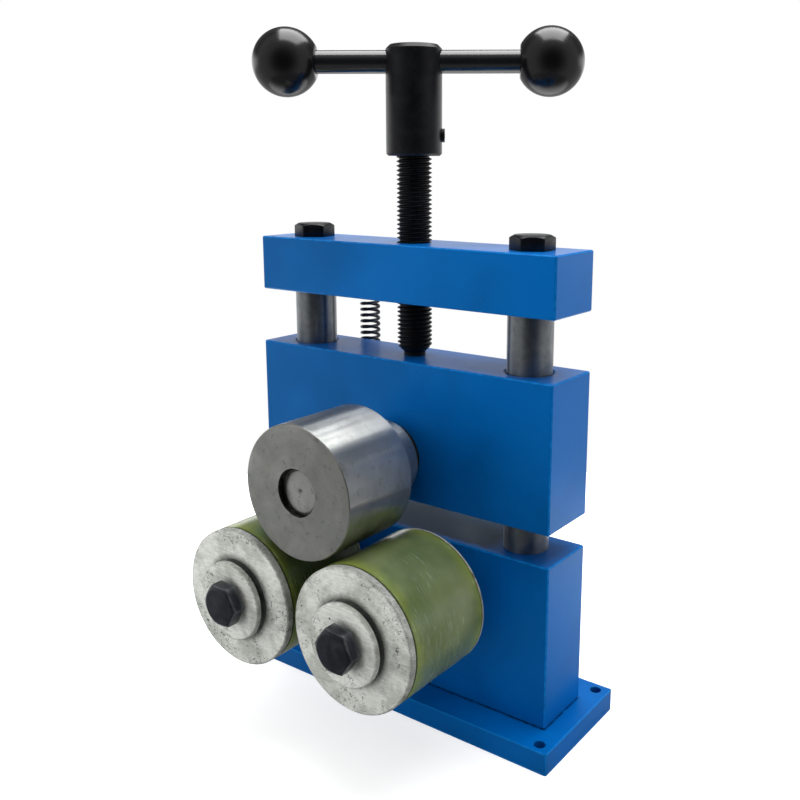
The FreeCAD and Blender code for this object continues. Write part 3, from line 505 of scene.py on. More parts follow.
def zincFinish(name, node, seed, seat=None, shadowToUpperRight=False):  # the last flag keeps the painted shadow round the seat to the upper right
    finish, tree, shader = newFinish(name)
    low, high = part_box(node)
    centre = (low + high) / 2
    rim = (high.x - low.x) * 500
    spot = mapped(tree, centre)
    x, y, z = axes(tree, spot)
    radius = hypotenuse(tree, x, z)
    moved = {0: spot, 1: (seed, 0.37 * seed, 0.71 * seed)}
    shifted = addNode(tree, "VectorMath", {"operation": "ADD"}, moved).outputs[0]
    cloud = grain(tree, shifted, 0.07, 6, 0.72, 0.2)
    brushed = grain(tree, mapped(tree, centre, (0.25, 1, 1.3)), 1.1, 3, 0.6)
    colour = mixColor(tree, ease(tree, cloud, 0.40, 0.62), sRGB(*zinc["light"]), sRGB(*zinc["dull"]))
    colour = tinge(tree, colour, ease(tree, brushed, 0.35, 0.7, 0.0, 0.3), zinc["grey"])
    spots = dots(tree, shifted, 0.2, 0.74, 0.78, 0.13, 0.07)
    scratchy = grain(tree, shifted, 0.5, 5, 0.8, 1.2)
    outer = ease(tree, radius, 17, 29, 0.0, 0.10)
    region = ease(tree, add(tree, grain(tree, shifted, 0.06, 1), outer), 0.53, 0.62)
    marks = times(tree, ease(tree, scratchy, 0.56, 0.60), region)
    turned = {"Vector": shifted, "Rotation": (0, 0.9, 0), "Scale": (0.05, 1, 1.4)}
    hairAt = addNode(tree, "Mapping", {}, turned).outputs[0]
    hairs = times(tree, ease(tree, grain(tree, hairAt, 1.0, 2, 0.5), 0.64, 0.70),
                  ease(tree, grain(tree, shifted, 0.07, 1), 0.45, 0.6))
    dark = calc(tree, "MAXIMUM", spots, calc(tree, "MAXIMUM", marks, times(tree, hairs, 0.5)))
    colour = tinge(tree, colour, times(tree, dark, zinc["spotAmount"]), zinc["spot"])
    ragged = gain(tree, grain(tree, shifted, 0.35, 4, 0.7), 2.4, -1.2)
    reach = add(tree, radius, ragged)
    grime = ease(tree, reach, rim - 1.2, rim + 0.2, 0.0, zinc["rimGrime"])
    # painted shadow with some dirt: a dark ring round what sits on the face, under the washer or bolt head;
    # beside the bolts it is kept to the upper right
    if seat:
        dirtAndShadowAtSeat = times(tree, ease(tree, reach, seat + 3.2, seat - 0.4), zinc["seatDirtAndShadow"])
        if shadowToUpperRight:
            dirtAndShadowAtSeat = times(tree, dirtAndShadowAtSeat, ease(tree, gain(tree, z, 0.5, x), -2.0, 7.0))
        grime = calc(tree, "MAXIMUM", grime, dirtAndShadowAtSeat)
    colour = tinge(tree, colour, grime, zinc["grime"])
    rough = gain(tree, cloud, 0.2, zinc["roughness"])
    rough = gain(tree, calc(tree, "MAXIMUM", dark, grime), 0.2, rough)
    height = calc(tree, "SUBTRACT", times(tree, scratchy, 0.5), dark)
    normal = relief(tree, height, zinc["markDepth"], roundedEdges(tree, zinc["edgeRound"]))
    connect(tree, shader, color=colour, roughness=rough, normal=normal, metallic=zinc["metallic"])
    return finish


# black oxide on the screws, bolts and hub

blackOxide = {
    "base": (14, 15, 18), "grey": (25, 26, 30), "worn": (50, 50, 50), "edge": (128, 134, 134),
    "roughness": 0.22, "metallic": 0.25, "gloss": 0.28, "relief": 0.012, "edgeRound": 0.3,
    "endBoltWearAndLight": 1.9, "endBoltEdgeWearAndHighlight": 0.5, "edgeWidth": 0.2,
}


def oxideFinish(name, lift=1.0, edgeWearAndHighlight=0.0):  # lift greys the heads, as wear and as painted light; the last flag paints bright rims, as edge wear and as painted highlight
    finish, tree, shader = newFinish(name)
    spot = mapped(tree)
    cloud = grain(tree, spot, 0.12, 4, 0.6, 0.5)
    fine = grain(tree, spot, 1.1, 3, 0.6)
    base, grey, worn = (sRGB(*[lift * part for part in blackOxide[key]]) for key in ("base", "grey", "worn"))
    colour = mixColor(tree, ease(tree, cloud, 0.35, 0.7), base, grey)
    colour = mixColor(tree, ease(tree, fine, 0.62, 0.75, 0.0, 0.35), colour, worn)
    # painted highlight with wear: lighter rims where the rounded normal leaves the flat one
    if edgeWearAndHighlight:
        flat = addNode(tree, "NewGeometry").outputs["True Normal"]
        pair = {0: roundedEdges(tree, blackOxide["edgeWidth"]), 1: flat}
        level = addNode(tree, "VectorMath", {"operation": "DOT_PRODUCT"}, pair).outputs["Value"]
        rubbed = times(tree, ease(tree, level, 0.998, 0.980, 0.0, edgeWearAndHighlight), ease(tree, cloud, 0.25, 0.5))
        colour = tinge(tree, colour, rubbed, blackOxide["edge"])
    rough = gain(tree, fine, 0.16, gain(tree, cloud, 0.12, blackOxide["roughness"]))
    normal = relief(tree, fine, blackOxide["relief"], roundedEdges(tree, blackOxide["edgeRound"]))
    connect(tree, shader, color=colour, roughness=rough, normal=normal,
            metallic=blackOxide["metallic"], specular=blackOxide["gloss"])
    return finish


# the cross bar, drawn, blacked and rubbed smooth

blackBar = {
    "dark": (14, 15, 18), "light": (26, 27, 31), "drawn": (62, 62, 64), "roughness": 0.10,
    "metallic": 0.15, "gloss": 1.0, "relief": 0.002, "edgeRound": 0.3,
}


def barFinish(slope):
    finish, tree, shader = newFinish("blackBar")
    spot = mapped(tree)
    x, y, z = axes(tree, spot)
    along = add(tree, times(tree, x, slope[0]), times(tree, y, slope[1]))
    across = calc(tree, "SUBTRACT", times(tree, y, slope[0]), times(tree, x, slope[1]))
    drawn = grain(tree, fromAxes(tree, times(tree, along, 0.03), across, z), 1.8, 3, 0.6)
    cloud = grain(tree, spot, 0.1, 4, 0.6, 0.4)
    colour = mixColor(tree, cloud, sRGB(*blackBar["dark"]), sRGB(*blackBar["light"]))
    colour = tinge(tree, colour, ease(tree, drawn, 0.6, 0.75, 0.0, 0.3), blackBar["drawn"])
    rough = gain(tree, drawn, 0.08, gain(tree, cloud, 0.08, blackBar["roughness"]))
    normal = relief(tree, drawn, blackBar["relief"], roundedEdges(tree, blackBar["edgeRound"]))
    connect(tree, shader, color=colour, roughness=rough, normal=normal,
            metallic=blackBar["metallic"], specular=blackBar["gloss"])
    return finish


# moulded plastic of the ball knobs

knobPlastic = {
    "dark": (6, 6, 8), "light": (12, 12, 14), "roughness": 0.17, "gloss": 0.48, "relief": 0.003,
    "edgeRound": 0.3,
}


def knobFinish():
    finish, tree, shader = newFinish("knobPlastic")
    spot = mapped(tree)
    cloud = grain(tree, spot, 0.08, 3, 0.6, 0.4)
    fine = grain(tree, spot, 1.6, 3, 0.65)
    colour = mixColor(tree, cloud, sRGB(*knobPlastic["dark"]), sRGB(*knobPlastic["light"]))
    hairAt = mapped(tree, (0, 0, 0), (0.15, 1, 0.6))
    hairs = ease(tree, grain(tree, hairAt, 1.8, 4, 0.7, 0.8), 0.62, 0.70)
    rough = gain(tree, hairs, 0.10, gain(tree, cloud, 0.10, knobPlastic["roughness"]))
    normal = relief(tree, fine, knobPlastic["relief"], roundedEdges(tree, knobPlastic["edgeRound"]))
    connect(tree, shader, color=colour, roughness=rough, normal=normal, specular=knobPlastic["gloss"])
    return finish


# spring wire

springWire = {
    "dark": (38, 40, 46), "light": (78, 80, 86), "rubbed": (112, 110, 106), "roughness": 0.18,
    "metallic": 0.8, "relief": 0.004,
}


def wireFinish():
    finish, tree, shader = newFinish("springWire")
    spot = mapped(tree)
    cloud = grain(tree, spot, 0.5, 3, 0.6)
    fine = grain(tree, spot, 3.0, 3, 0.6)
    colour = mixColor(tree, cloud, sRGB(*springWire["dark"]), sRGB(*springWire["light"]))
    colour = tinge(tree, colour, ease(tree, fine, 0.6, 0.75, 0.0, 0.4), springWire["rubbed"])
    rough = gain(tree, fine, 0.2, springWire["roughness"])
    normal = relief(tree, fine, springWire["relief"])
    connect(tree, shader, color=colour, roughness=rough, normal=normal, metallic=springWire["metallic"])
    return finish


# sintered bronze of the shaft's bushes

bushBronze = {
    "light": (150, 108, 58), "dark": (108, 76, 42), "pore": (62, 42, 24), "roughness": 0.28,
    "poreDepth": 0.01, "edgeRound": 0.3,
}


def bronzeFinish():
    finish, tree, shader = newFinish("bushBronze")
    spot = mapped(tree)
    cloud = grain(tree, spot, 0.14, 4, 0.6, 0.5)
    pores = ease(tree, grain(tree, spot, 2.4, 2, 0.6), 0.60, 0.70)
    light, dark = sRGB(*bushBronze["light"]), sRGB(*bushBronze["dark"])
    colour = mixColor(tree, ease(tree, cloud, 0.3, 0.7), light, dark)
    colour = tinge(tree, colour, times(tree, pores, 0.6), bushBronze["pore"])
    rough = gain(tree, cloud, 0.18, bushBronze["roughness"])
    rounded = roundedEdges(tree, bushBronze["edgeRound"])
    normal = relief(tree, times(tree, pores, -1.0), bushBronze["poreDepth"], rounded)
    connect(tree, shader, color=colour, roughness=rough, normal=normal, metallic=1)
    return finish


# polished steel of the bearings

bearingSteel = {
    "dark": (178, 180, 182), "light": (206, 208, 208), "roughness": 0.1, "relief": 0.002, "edgeRound": 0.2,
}


def bearingFinish():
    finish, tree, shader = newFinish("bearingSteel")
    spot = mapped(tree)
    cloud = grain(tree, spot, 0.3, 3, 0.6)
    fine = grain(tree, spot, 2.0, 2, 0.6)
    colour = mixColor(tree, cloud, sRGB(*bearingSteel["dark"]), sRGB(*bearingSteel["light"]))
    rough = gain(tree, fine, 0.1, bearingSteel["roughness"])
    normal = relief(tree, fine, bearingSteel["relief"], roundedEdges(tree, bearingSteel["edgeRound"]))
    connect(tree, shader, color=colour, roughness=rough, normal=normal, metallic=1)
    return finish


# polyurethane sleeves of the lower rollers

sleeve = {
    "body": (120, 132, 90), "deep": (90, 106, 58), "glow": (146, 162, 22), "dustAndSheen": (150, 170, 152),
    "seam": (30, 36, 18), "glowAmount": 0.5, "dustAndSheenAmount": 0.26, "seamAmount": 0.8,
    "roughness": 0.14, "relief": 0.02, "edgeRound": 0.4, "ior": 1.48, "transmission": 0.25,
    "subsurface": 0.5, "subsurfaceReach": (0.9, 1.0, 0.25), "subsurfaceScale": 0.006,
}


def sleeveFinish(name, node):
    finish, tree, shader = newFinish(name)
    low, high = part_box(node)
    centre = (low + high) / 2
    spot = mapped(tree, centre)
    y = axes(tree, spot)[1]
    cloud = grain(tree, spot, 0.035, 3, 0.55, 0.2)
    streak = grain(tree, mapped(tree, centre, (0.3, 1, 0.3)), 0.35, 3, 0.6)
    colour = mixColor(tree, ease(tree, cloud, 0.35, 0.68), sRGB(*sleeve["body"]), sRGB(*sleeve["deep"]))
    edge = calc(tree, "SUBTRACT", (high.y - low.y) * 500, calc(tree, "ABSOLUTE", y))
    # painted glow: brighter yellow-green towards the sleeve's ends
    glow = ease(tree, gain(tree, cloud, 14.0, edge), 15.0, 5.0)
    colour = tinge(tree, colour, times(tree, glow, sleeve["glowAmount"]), sleeve["glow"])
    # pale streaks round the sleeve: dust with painted sheen
    around = grain(tree, mapped(tree, centre, (0.12, 1, 0.12)), 0.9, 3, 0.6)
    patches = ease(tree, grain(tree, spot, 0.045, 1), 0.40, 0.60)
    dustAndSheen = times(tree, ease(tree, around, 0.38, 0.80), patches)
    colour = tinge(tree, colour, times(tree, dustAndSheen, sleeve["dustAndSheenAmount"]), sleeve["dustAndSheen"])
    seam = ease(tree, edge, 0.8, 0.2)
    colour = tinge(tree, colour, times(tree, seam, sleeve["seamAmount"]), sleeve["seam"])
    rough = gain(tree, dustAndSheen, 0.12, gain(tree, streak, 0.14, sleeve["roughness"]))
    normal = relief(tree, streak, sleeve["relief"], roundedEdges(tree, sleeve["edgeRound"]))
    inner = ("subsurface", "subsurfaceReach", "subsurfaceScale", "transmission", "ior")
    depth = {key: sleeve[key] for key in inner}
    connect(tree, shader, color=colour, roughness=rough, normal=normal, **depth)
    return finish


# finishes on the nodes that keep their shape

blackNodes = (
    "top_bar_bolts", "post_foot_screws", "block_screws", "upper_hook_screws", "lower_hook_screws",
    "press_screw", "handle_hub", "hub_grub_screw", "retaining_ring",
)
zincSeeds = {"left": 17, "right": 91, "nuts": 5, "step": 40}  # shift the marks from piece to piece


def dress(finish, *names):
    for name in names:
        for slotHeld in nodes[name].material_slots:
            slotHeld.material = finish


def dressSide(side):
    dress(postFinish("postSteel_" + side, middle(side + "_guide_post")), side + "_guide_post")
    axleSteel = groundSteel("axleSteel_" + side, middle(side + "_axle"), steel["axleLight"],
                            steel["axleDark"], steel["axleRough"])
    dress(axleSteel, side + "_axle", side + "_axle_spacers", side + "_roller_core")
    for number, part in enumerate(("front_plate", "rear_plate", "end_washer")):
        seed = zincSeeds["step"] * number + zincSeeds[side]
        plate = f"{side}_{part}"
        dress(zincFinish("zinc_" + plate, plate, seed, zinc["seats"].get(part), part == "end_washer"), plate)
    dress(bearing, *[f"{side}_bearing_{part}" for part in ("inner_rings", "outer_rings", "balls")])
    dress(sleeveFinish("polyurethane_" + side, side + "_roller_sleeve"), side + "_roller_sleeve")
    dress(knob, side + "_ball_knob")
    dress(wire, side + "_spring")


def dressNodes():
    for node in ("base_plate", "lower_block", "slider_block", "top_bar"):
        dress(paintFinish(node), node)
    dress(wornAndLitOxide, "axle_end_bolts")
    dress(oxide, *blackNodes)
    low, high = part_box("cross_bar")
    dress(barFinish((high - low).xy.normalized()), "cross_bar")
    dress(bronzeFinish(), "front_shaft_bush", "rear_shaft_bush")
    dress(rollerSteel, "top_roller", "roller_collar", "thrust_washer")
    dress(shaftSteel, "top_roller_shaft")
    for side in sides:
        dressSide(side)
    dress(nutZinc, "axle_nuts", "axle_nut_washers")


oxide = oxideFinish("blackOxide")
# a lighter copy for the end bolts: wear and painted light, with painted highlights on their rims
wornAndLitOxide = oxideFinish("wornAndLitOxide", blackOxide["endBoltWearAndLight"], blackOxide["endBoltEdgeWearAndHighlight"])
rollerSteel = groundSteel("groundSteel", middle("top_roller"), steel["light"], steel["dark"],
                          steel["rollerRough"], steel["rollerRecessShade"])
shaftSteel = groundSteel("shaftSteel", middle("top_roller"), steel["shaftLight"], steel["shaftDark"],
                         steel["shaftRough"], steel["shaftRecessShade"])
nutZinc = zincFinish("zincNuts", "axle_nuts", zincSeeds["nuts"])
bearing = bearingFinish()
knob = knobFinish()
wire = wireFinish()
dressNodes()
print("nodes dressed")

# press screw, with its thread cut

pressScrew = {
    "thread": 16.0, "pitch": 2.0, "rootRadius": 6.78, "pin": 10.0, "pinRise": 1.65, "endBreak": 1.0,
    "coneWiden": 3.45, "coneHeight": 3.45,  # out to clear of the thread
    "sides": 48, "blankSides": 144, "overrun": 0.2,  # overrun in pitches beyond each end
}


def makePressScrew():
    low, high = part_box("press_screw")
    crest, root = pressScrew["thread"] / 2 * mm, pressScrew["rootRadius"] * mm
    pitch, steps = pressScrew["pitch"] * mm, pressScrew["sides"]
    start = low.z - pitch
    clearSelection()
    bpy.ops.mesh.primitive_plane_add(size=mm, location=(root, 0, start))  # shrunk and drawn into a tooth
    thread = called("pressScrew")
    bpy.ops.object.mode_set(mode="EDIT")
    bpy.ops.mesh.select_all(action="SELECT")
    bpy.ops.mesh.merge(type="CENTER")
    land, flank = pitch / 8, 5 / 16 * pitch
    for out, rise in ((0, land), (crest - root, flank), (0, land), (root - crest, flank), (0, land)):
        bpy.ops.mesh.extrude_region_move(TRANSFORM_OT_translate={"value": (out, 0, rise)})
    bpy.ops.object.mode_set(mode="OBJECT")
    bpy.ops.object.transform_apply(location=True, rotation=True, scale=True)
    turns = math.ceil((high.z - start) / pitch) + 2
    useModifier(thread, "SCREW", axis="Z", angle=math.tau, screw_offset=pitch, iterations=turns,
                steps=steps, render_steps=steps, use_smooth_shade=False)
    takeUp(thread)
    bpy.ops.object.mode_set(mode="EDIT")
    overrun = pressScrew["overrun"] * pitch
    for height, upward in ((low.z - overrun, False), (high.z + overrun, True)):
        bpy.ops.mesh.select_all(action="SELECT")
        bpy.ops.mesh.remove_doubles(threshold=2e-6)
        bpy.ops.mesh.select_all(action="SELECT")
        bpy.ops.mesh.bisect(plane_co=(0, 0, height), plane_no=(0, 0, 1), use_fill=True,
                            clear_inner=not upward, clear_outer=upward)
    bpy.ops.mesh.select_all(action="SELECT")
    bpy.ops.mesh.normals_make_consistent(inside=False)
    bpy.ops.object.mode_set(mode="OBJECT")
    pin, brk = pressScrew["pin"] / 2 * mm, pressScrew["endBreak"] * mm
    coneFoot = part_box("slider_block")[1].z + pressScrew["pinRise"] * mm
    coneTop, wide = coneFoot + pressScrew["coneHeight"] * mm, pin + pressScrew["coneWiden"] * mm
    blank = turnPiece("screwBlank", [
        (pin - brk, low.z), (pin, low.z + brk), (pin, coneFoot), (wide, coneTop), (wide, high.z - 2 * brk),
        (wide - 2 * brk, high.z),
    ], pressScrew["blankSides"])
    cutWith(thread, blank, "INTERSECT")
    smoothFaces(thread, 40)
    fit(thread, "screw", oxide, "press_screw")


# hexagon bolts and nuts

hexagons = {
    "boltFlats": 17.0, "boltFace": 15.4, "nutFlats": 19.0, "nutFace": 18.0,  # across flats, chamfer's circle
    "chamfer": 30, "edge": 0.16, "coneSides": 120, "coneRoom": 0.4, "smooth": 22,
    "barTurns": (39, 31), "endTurns": (59, 55), "nutTurns": (18, 47),  # degrees, where each came tight
    "stud": 12.0, "boreGap": 0.1, "boreLead": 0.7, "boreSides": 64,
}


def hexagonBlank(name, flats, height, face, bothEnds=False):  # stands on Z = 0, its corners turned off
    clearSelection()
    corner = flats / math.sqrt(3)
    bpy.ops.mesh.primitive_cylinder_add(  # longer than the cone, whose ends make its own
        vertices=6, radius=corner, depth=height + 2 * mm, location=(0, 0, height / 2))
    blank = called(name)
    bpy.ops.object.transform_apply(location=True, rotation=True, scale=True)
    wide = corner + hexagons["coneRoom"] * mm
    drop = (wide - face / 2) * math.tan(math.radians(hexagons["chamfer"]))
    rings = [(wide, height - drop), (face / 2, height)]
    rings = [(face / 2, 0), (wide, drop)] + rings if bothEnds else [(wide, 0)] + rings
    cutWith(blank, turnPiece("cornerCone", rings, hexagons["coneSides"]), "INTERSECT")
    return blank


def boltHead(height):
    head = hexagonBlank("boltHead", hexagons["boltFlats"] * mm, height, hexagons["boltFace"] * mm)
    softenEdges(head, hexagons["edge"] * mm, 2, 12)
    return head


def makeBarBolts():
    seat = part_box("top_bar")[1].z
    head = boltHead(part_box("top_bar_bolts")[1].z - seat)
    heads = head, twinOf(head)
    for side, turn, head in zip(sides, hexagons["barTurns"], heads):
        post = middle(side + "_guide_post")
        setDown(head, (post.x, post.y, seat), (0, 0, turn - 90))
    bolts = joined("topBarBolts", heads)
    smoothFaces(bolts, hexagons["smooth"])
    fit(bolts, "frame", oxide, "top_bar_bolts")


def makeEndBolts():
    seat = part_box("right_end_washer")[0].y
    head = boltHead(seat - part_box("axle_end_bolts")[0].y)
    heads = head, twinOf(head)
    for side, turn, head in zip(sides, hexagons["endTurns"], heads):
        axle = middle(side + "_axle")
        setDown(head, (0, 0, 0), (0, 0, turn - 90))
        setDown(head, (axle.x, seat, axle.z), (90, 0, 0))
    bolts = joined("axleEndBolts", heads)
    smoothFaces(bolts, hexagons["smooth"])
    fit(bolts, "frame", wornAndLitOxide, "axle_end_bolts")


def axleNut(height):
    gap, lead = hexagons["boreGap"] * mm, hexagons["boreLead"] * mm
    stud = hexagons["stud"] / 2 * mm
    nut = hexagonBlank("axleNut", hexagons["nutFlats"] * mm, height, hexagons["nutFace"] * mm, bothEnds=True)
    bore = turnPiece("nutBore", [
        (stud + lead, -gap), (stud + gap, lead), (stud + gap, height - lead), (stud + lead, height + gap),
    ], hexagons["boreSides"])
    cutWith(nut, bore, "DIFFERENCE")
    softenEdges(nut, hexagons["edge"] * mm, 2, 20)
    return nut


def makeAxleNuts():
    low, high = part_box("axle_nuts")
    nut = axleNut(high.y - low.y)
    nuts = nut, twinOf(nut)
    for side, turn, nut in zip(sides, hexagons["nutTurns"], nuts):
        axle = middle(side + "_axle")
        setDown(nut, (0, 0, 0), (0, 0, turn))
        setDown(nut, (axle.x, low.y, axle.z), (-90, 0, 0))
    nuts = joined("axleNuts", nuts)
    smoothFaces(nuts, hexagons["smooth"])
    fit(nuts, "frame", nutZinc, "axle_nuts")


# ball knobs

ballKnob = {
    "diameter": 30.0, "flat": 14.0, "bore": 10.0, "boreDepth": 12.0, "edge": 0.35,
    "segments": 96, "rings": 64,
}


def makeBall():  # its flat and bore look along Z
    radius = ballKnob["diameter"] / 2 * mm
    reach = math.sqrt(radius ** 2 - (ballKnob["flat"] / 2 * mm) ** 2)  # ball centre to its flat
    clearSelection()
    bpy.ops.mesh.primitive_uv_sphere_add(
        segments=ballKnob["segments"], ring_count=ballKnob["rings"], radius=radius)
    ball = called("ballKnob")
    bpy.ops.object.mode_set(mode="EDIT")
    bpy.ops.mesh.select_all(action="SELECT")
    bpy.ops.mesh.bisect(plane_co=(0, 0, reach), plane_no=(0, 0, 1), use_fill=True, clear_outer=True)
    pickFaces(ball, lambda face: face.calc_center_median().z > reach - 1e-6)
    bpy.ops.mesh.inset(thickness=(ballKnob["flat"] - ballKnob["bore"]) / 2 * mm)
    bpy.ops.mesh.extrude_region_move(TRANSFORM_OT_translate={"value": (0, 0, -ballKnob["boreDepth"] * mm)})
    bpy.ops.object.mode_set(mode="OBJECT")
    softenEdges(ball, ballKnob["edge"] * mm, 3, 40)
    smoothFaces(ball, 30)
    return ball


def placeBall(ball, side, otherSide):  # its flat turned to the other ball
    centre, other = middle(side + "_ball_knob"), middle(otherSide + "_ball_knob")
    inward = math.atan2(other.y - centre.y, other.x - centre.x)
    setDown(ball, centre, (0, 90, math.degrees(inward)))
    called(side + "BallKnob")
    fit(ball, "handle_bar", knob, side + "_ball_knob")


# springs

spring = {
    "wire": 1.6, "outside": 10.4, "turns": 16, "leg": 1.5, "foot": 152.8, "top": 200.8,
    "perTurn": 16, "perHook": 8, "between": 3, "aroundWire": 3,  # points, and steps between them
}


def makeCoil():  # about Z, at its own height
    radius = (spring["outside"] - spring["wire"]) / 2 * mm
    foot, top, leg = (spring[key] * mm for key in ("foot", "top", "leg"))
    bend = [math.pi * step / spring["perHook"] for step in range(spring["perHook"] + 1)]
    path = [(-radius, 0, foot)]
    path += [(-radius * math.cos(a), 0, foot - leg - radius * math.sin(a)) for a in bend]
    count = spring["turns"] * spring["perTurn"]
    wide = radius * 3 / (2 + math.cos(math.tau / spring["perTurn"]))  # the curve runs inside its points
    for step in range(count + 1):
        angle = math.tau * step / spring["perTurn"]
        path.append((wide * math.cos(angle), wide * math.sin(angle), foot + (top - foot) * step / count))
    path += [(radius * math.cos(a), 0, top + leg + radius * math.sin(a)) for a in bend]
    path.append((-radius, 0, top))
    curve = bpy.data.curves.new("springLine", "CURVE")
    curve.dimensions = "3D"
    line = curve.splines.new("NURBS")
    line.points.add(len(path) - 1)
    for point, place in zip(line.points, path):
        point.co = (*place, 1)
    line.order_u = 4
    line.use_endpoint_u = True
    line.resolution_u = spring["between"]
    curve.bevel_depth = spring["wire"] / 2 * mm
    curve.bevel_resolution = spring["aroundWire"]
    curve.use_fill_caps = True
    coil = bpy.data.objects.new("coil", curve)
    bpy.context.scene.collection.objects.link(coil)
    takeUp(coil)
    bpy.ops.object.convert(target="MESH")
    coil = called("coil")
    smoothFaces(coil, 50)
    return coil


def placeCoil(coil, side):
    centre = middle(side + "_spring")
    setDown(coil, (centre.x, centre.y, 0))
    called(side + "Spring")
    coil.data.materials.clear()
    coil.data.materials.append(wire)
    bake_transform(coil)
    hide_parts(side + "_spring")


def makeKnobsAndSprings():
    made = makeBall(), makeCoil()
    twins = twinOf(made[0]), twinOf(made[1])
    for side, otherSide, (ball, coil) in zip(sides, reversed(sides), (made, twins)):
        placeBall(ball, side, otherSide)
        placeCoil(coil, side)


# top roller shaft

rollerShaft = {
    "diameter": 20.0, "drive": 16.0, "driveFrom": 25.75, "flat": 1.0, "groove": 0.7,
    "frontBreak": 1.3, "rearBreak": 1.0, "shoulderBreak": 0.4, "edge": 0.1, "sides": 128,
    "centreHole": 1.1, "centreTip": 0.15, "centreDepth": 1.3, "lipWidth": 0.25, "lipDepth": 0.12,
    "rearHole": 1.6,  # times the front one
}


def makeRollerShaft():
    low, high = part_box("top_roller_shaft")
    axis = middle("top_roller_shaft")
    full, drive = rollerShaft["diameter"] / 2 * mm, rollerShaft["drive"] / 2 * mm
    hole, tip, depth = (rollerShaft[key] * mm for key in ("centreHole", "centreTip", "centreDepth"))
    rearHole, rearDepth = hole * rollerShaft["rearHole"], depth * rollerShaft["rearHole"]
    lip, lipDepth = rollerShaft["lipWidth"] * mm, rollerShaft["lipDepth"] * mm
    front, rear, groove = (rollerShaft[key] * mm for key in ("frontBreak", "rearBreak", "groove"))
    shoulder, shoulderBreak = rollerShaft["driveFrom"] * mm, rollerShaft["shoulderBreak"] * mm
    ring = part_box("retaining_ring")
    shaft = turnPiece("topRollerShaft", [
        (tip, low.y + depth), (hole, low.y + lipDepth), (hole + lip, low.y), (full - front, low.y),
        (full, low.y + front), (full, ring[0].y), (full - groove, ring[0].y), (full - groove, ring[1].y),
        (full, ring[1].y), (full, shoulder - shoulderBreak), (full - shoulderBreak, shoulder),
        (drive, shoulder), (drive, high.y - rear), (drive - rear, high.y), (rearHole + lip, high.y),
        (rearHole, high.y - lipDepth), (tip, high.y - rearDepth),
    ], rollerShaft["sides"])
    clearSelection()
    bpy.ops.mesh.primitive_cube_add(size=1)  # mills the flat
    tool = called("flatTool")
    thick = 5 * mm
    tool.scale = (30 * mm, thick, high.y - shoulder)
    bpy.ops.object.transform_apply(location=True, rotation=True, scale=True)
    above = drive - rollerShaft["flat"] * mm + thick / 2
    setDown(tool, (0, above, (shoulder + high.y) / 2 + shoulderBreak))
    cutWith(shaft, tool, "DIFFERENCE")
    softenEdges(shaft, rollerShaft["edge"] * mm, 1, 40)
    smoothFaces(shaft, 30)
    setDown(shaft, (axis.x, 0, axis.z), (-90, 0, 0))
    fit(shaft, "top_roller", shaftSteel, "top_roller_shaft")


makePressScrew()
print("press screw cut")
makeBarBolts()
makeEndBolts()
makeAxleNuts()
print("bolts and nuts made")
makeKnobsAndSprings()
print("knobs and springs made")
makeRollerShaft()
print("roller shaft made")

# floor, room and lamps

floorDisc = {
    "radius": 340, "rim": 20, "shadow": (110, 300), "behind": (-60, 120),  # millimetres
    "tone": (204, 204, 204), "fleck": (210, 210, 210), "frontTone": (96, 97, 99),
    "roughness": 0.8, "lift": 0.62, "mirrored": 0.9,
}
room = {
    "towards": (-0.588, 0.809),  # x and y of the way to the backdrop
    "backdrop": 1.0, "horizon": 1.6, "wall": 0.14, "underfoot": 0.35,
    "frontGloss": 0.5, "nearGloss": 0.03, "frontFill": 0.44, "rearFill": 1.25,
    "sweep": (0.08, 0.28), "below": (-0.16, 0.0),  # how high it looks, as z of the ray
    "ahead": (-1.0, -0.45), "turn": (0.0, 0.4), "fillTurn": (-0.3, 0.45),  # how far it looks backwards
}
lamps = {
    "overheadSoftbox": {
        "where": (0.02, 0.16, 0.98), "size": (0.72, 0.8), "radiance": 5.6, "level": (0.809, 0.588, 0),
        "mirrored": True,
    },
    "leftSoftbox": {
        "where": (-1.05, -0.50, 0.20), "size": (1.2, 1.0), "radiance": 3.0, "level": (0.4, -0.9, 0),
        "mirrored": False,
    },
    "rightSoftbox": {
        "where": (1.20, 0.30, 0.25), "size": (0.9, 0.9), "radiance": 1.2, "level": (0, 1, 0),
        "mirrored": False,
    },
}
lampAim = Vector((0, 0, 0.12))


def rearward(tree, parts):  # how far along the way to the backdrop
    shares = [times(tree, part, share) for part, share in zip(parts, room["towards"])]
    return add(tree, *shares)


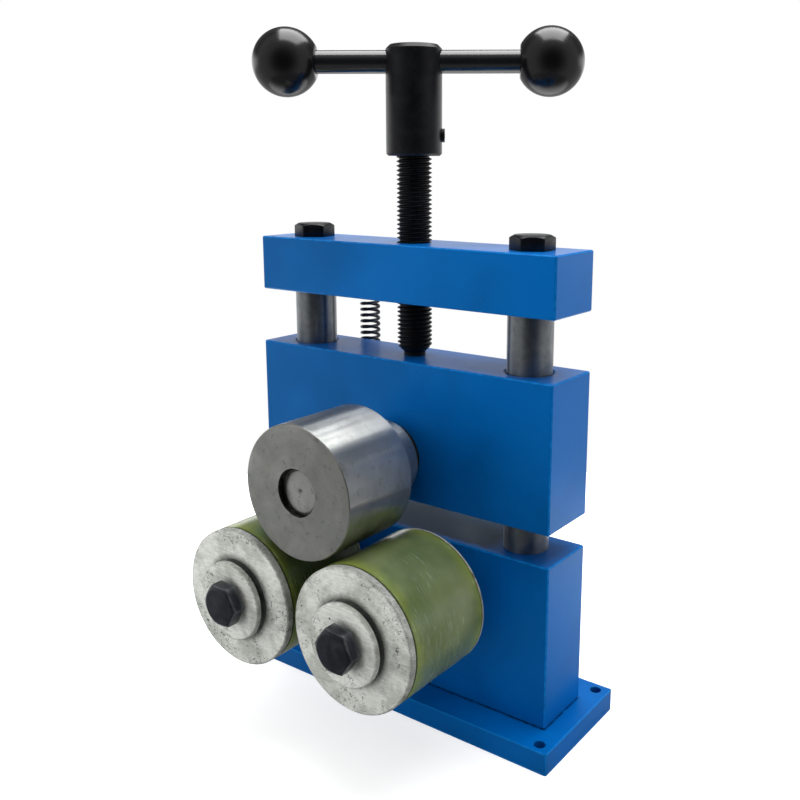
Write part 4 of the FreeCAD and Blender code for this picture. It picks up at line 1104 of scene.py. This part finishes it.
def makeFloor():
    clearSelection()
    bpy.ops.mesh.primitive_circle_add(vertices=96, radius=floorDisc["radius"] * mm, fill_type="NGON")
    floor = called("floor")
    bpy.ops.object.mode_set(mode="EDIT")
    bpy.ops.mesh.select_all(action="SELECT")
    bpy.ops.mesh.inset(thickness=floorDisc["rim"] * mm)
    bpy.ops.object.mode_set(mode="OBJECT")
    finish, tree, shader = newFinish("paleFloor")
    spot = mapped(tree)
    rays = addNode(tree, "LightPath").outputs
    seen = calc(tree, "MAXIMUM", rays["Is Camera Ray"], rays["Is Transmission Ray"])
    x, y = axes(tree, spot)[:2]
    atBack = ease(tree, rearward(tree, (x, y)), *floorDisc["behind"])
    atFront = times(tree, rays["Is Glossy Ray"], calc(tree, "SUBTRACT", 1.0, atBack))
    tone = mixColor(tree, grain(tree, spot, 0.004, 3), sRGB(*floorDisc["tone"]), sRGB(*floorDisc["fleck"]))
    tone = tinge(tree, tone, atFront, floorDisc["frontTone"])
    connect(tree, shader, color=tone, roughness=floorDisc["roughness"])
    away = hypotenuse(tree, x, y)
    glow = ease(tree, away, *floorDisc["shadow"], floorDisc["lift"], 1.0)  # white past the shadow
    mirrored = times(tree, times(tree, rays["Is Glossy Ray"], atBack), floorDisc["mirrored"])
    glow = calc(tree, "MAXIMUM", times(tree, seen, glow), mirrored)
    lift = addNode(tree, "Emission", {}, {"Strength": glow})
    both = addNode(tree, "AddShader", {}, {0: shader.outputs[0], 1: lift.outputs[0]})
    tree.links.new(both.outputs[0], tree.nodes["Material Output"].inputs["Surface"])
    floor.data.materials.append(finish)


def makeRoom():  # a white sweep behind the part, and a dim room on the side that it faces
    world = bpy.data.worlds.new("paleRoom")
    bpy.context.scene.world = world
    world.use_nodes = True
    tree = world.node_tree
    rays = addNode(tree, "LightPath").outputs
    x, y, z = axes(tree, addNode(tree, "TexCoord").outputs["Generated"])
    backward = rearward(tree, (x, y))
    glossy = calc(tree, "MAXIMUM", rays["Is Glossy Ray"], rays["Is Transmission Ray"])
    rear = ease(tree, z, *room["sweep"], room["horizon"], room["wall"])  # it ends a little above the part
    rear = times(tree, rear, ease(tree, z, *room["below"], room["underfoot"], 1.0))
    near = ease(tree, backward, *room["ahead"], room["nearGloss"], room["frontGloss"])
    mirrored = mixValue(tree, ease(tree, backward, *room["turn"]), near, rear)
    filled = ease(tree, backward, *room["fillTurn"], room["frontFill"], room["rearFill"])
    strength = mixValue(tree, glossy, filled, mirrored)
    strength = mixValue(tree, rays["Is Camera Ray"], strength, room["backdrop"])
    tree.links.new(strength, tree.nodes["Background"].inputs["Strength"])
    tree.nodes["Background"].inputs["Color"].default_value = (1, 1, 1, 1)


def makeLamp(name, lamp):
    data = bpy.data.lights.new(name, "AREA")
    data.shape = "RECTANGLE"
    data.size, data.size_y = lamp["size"]
    data.energy = lamp["radiance"] * math.pi * data.size * data.size_y
    softbox = bpy.data.objects.new(name, data)
    bpy.context.scene.collection.objects.link(softbox)
    softbox.visible_glossy = lamp["mirrored"]
    outward = (Vector(lamp["where"]) - lampAim).normalized()
    level = Vector(lamp["level"])
    across = (level - outward * outward.dot(level)).normalized()
    softbox.matrix_world = placement(across, outward.cross(across), outward, lamp["where"])


makeFloor()
makeRoom()
for name, lamp in lamps.items():
    makeLamp(name, lamp)
print("floor, room and lamps set")

bpy.context.scene.view_settings.view_transform = "Standard"
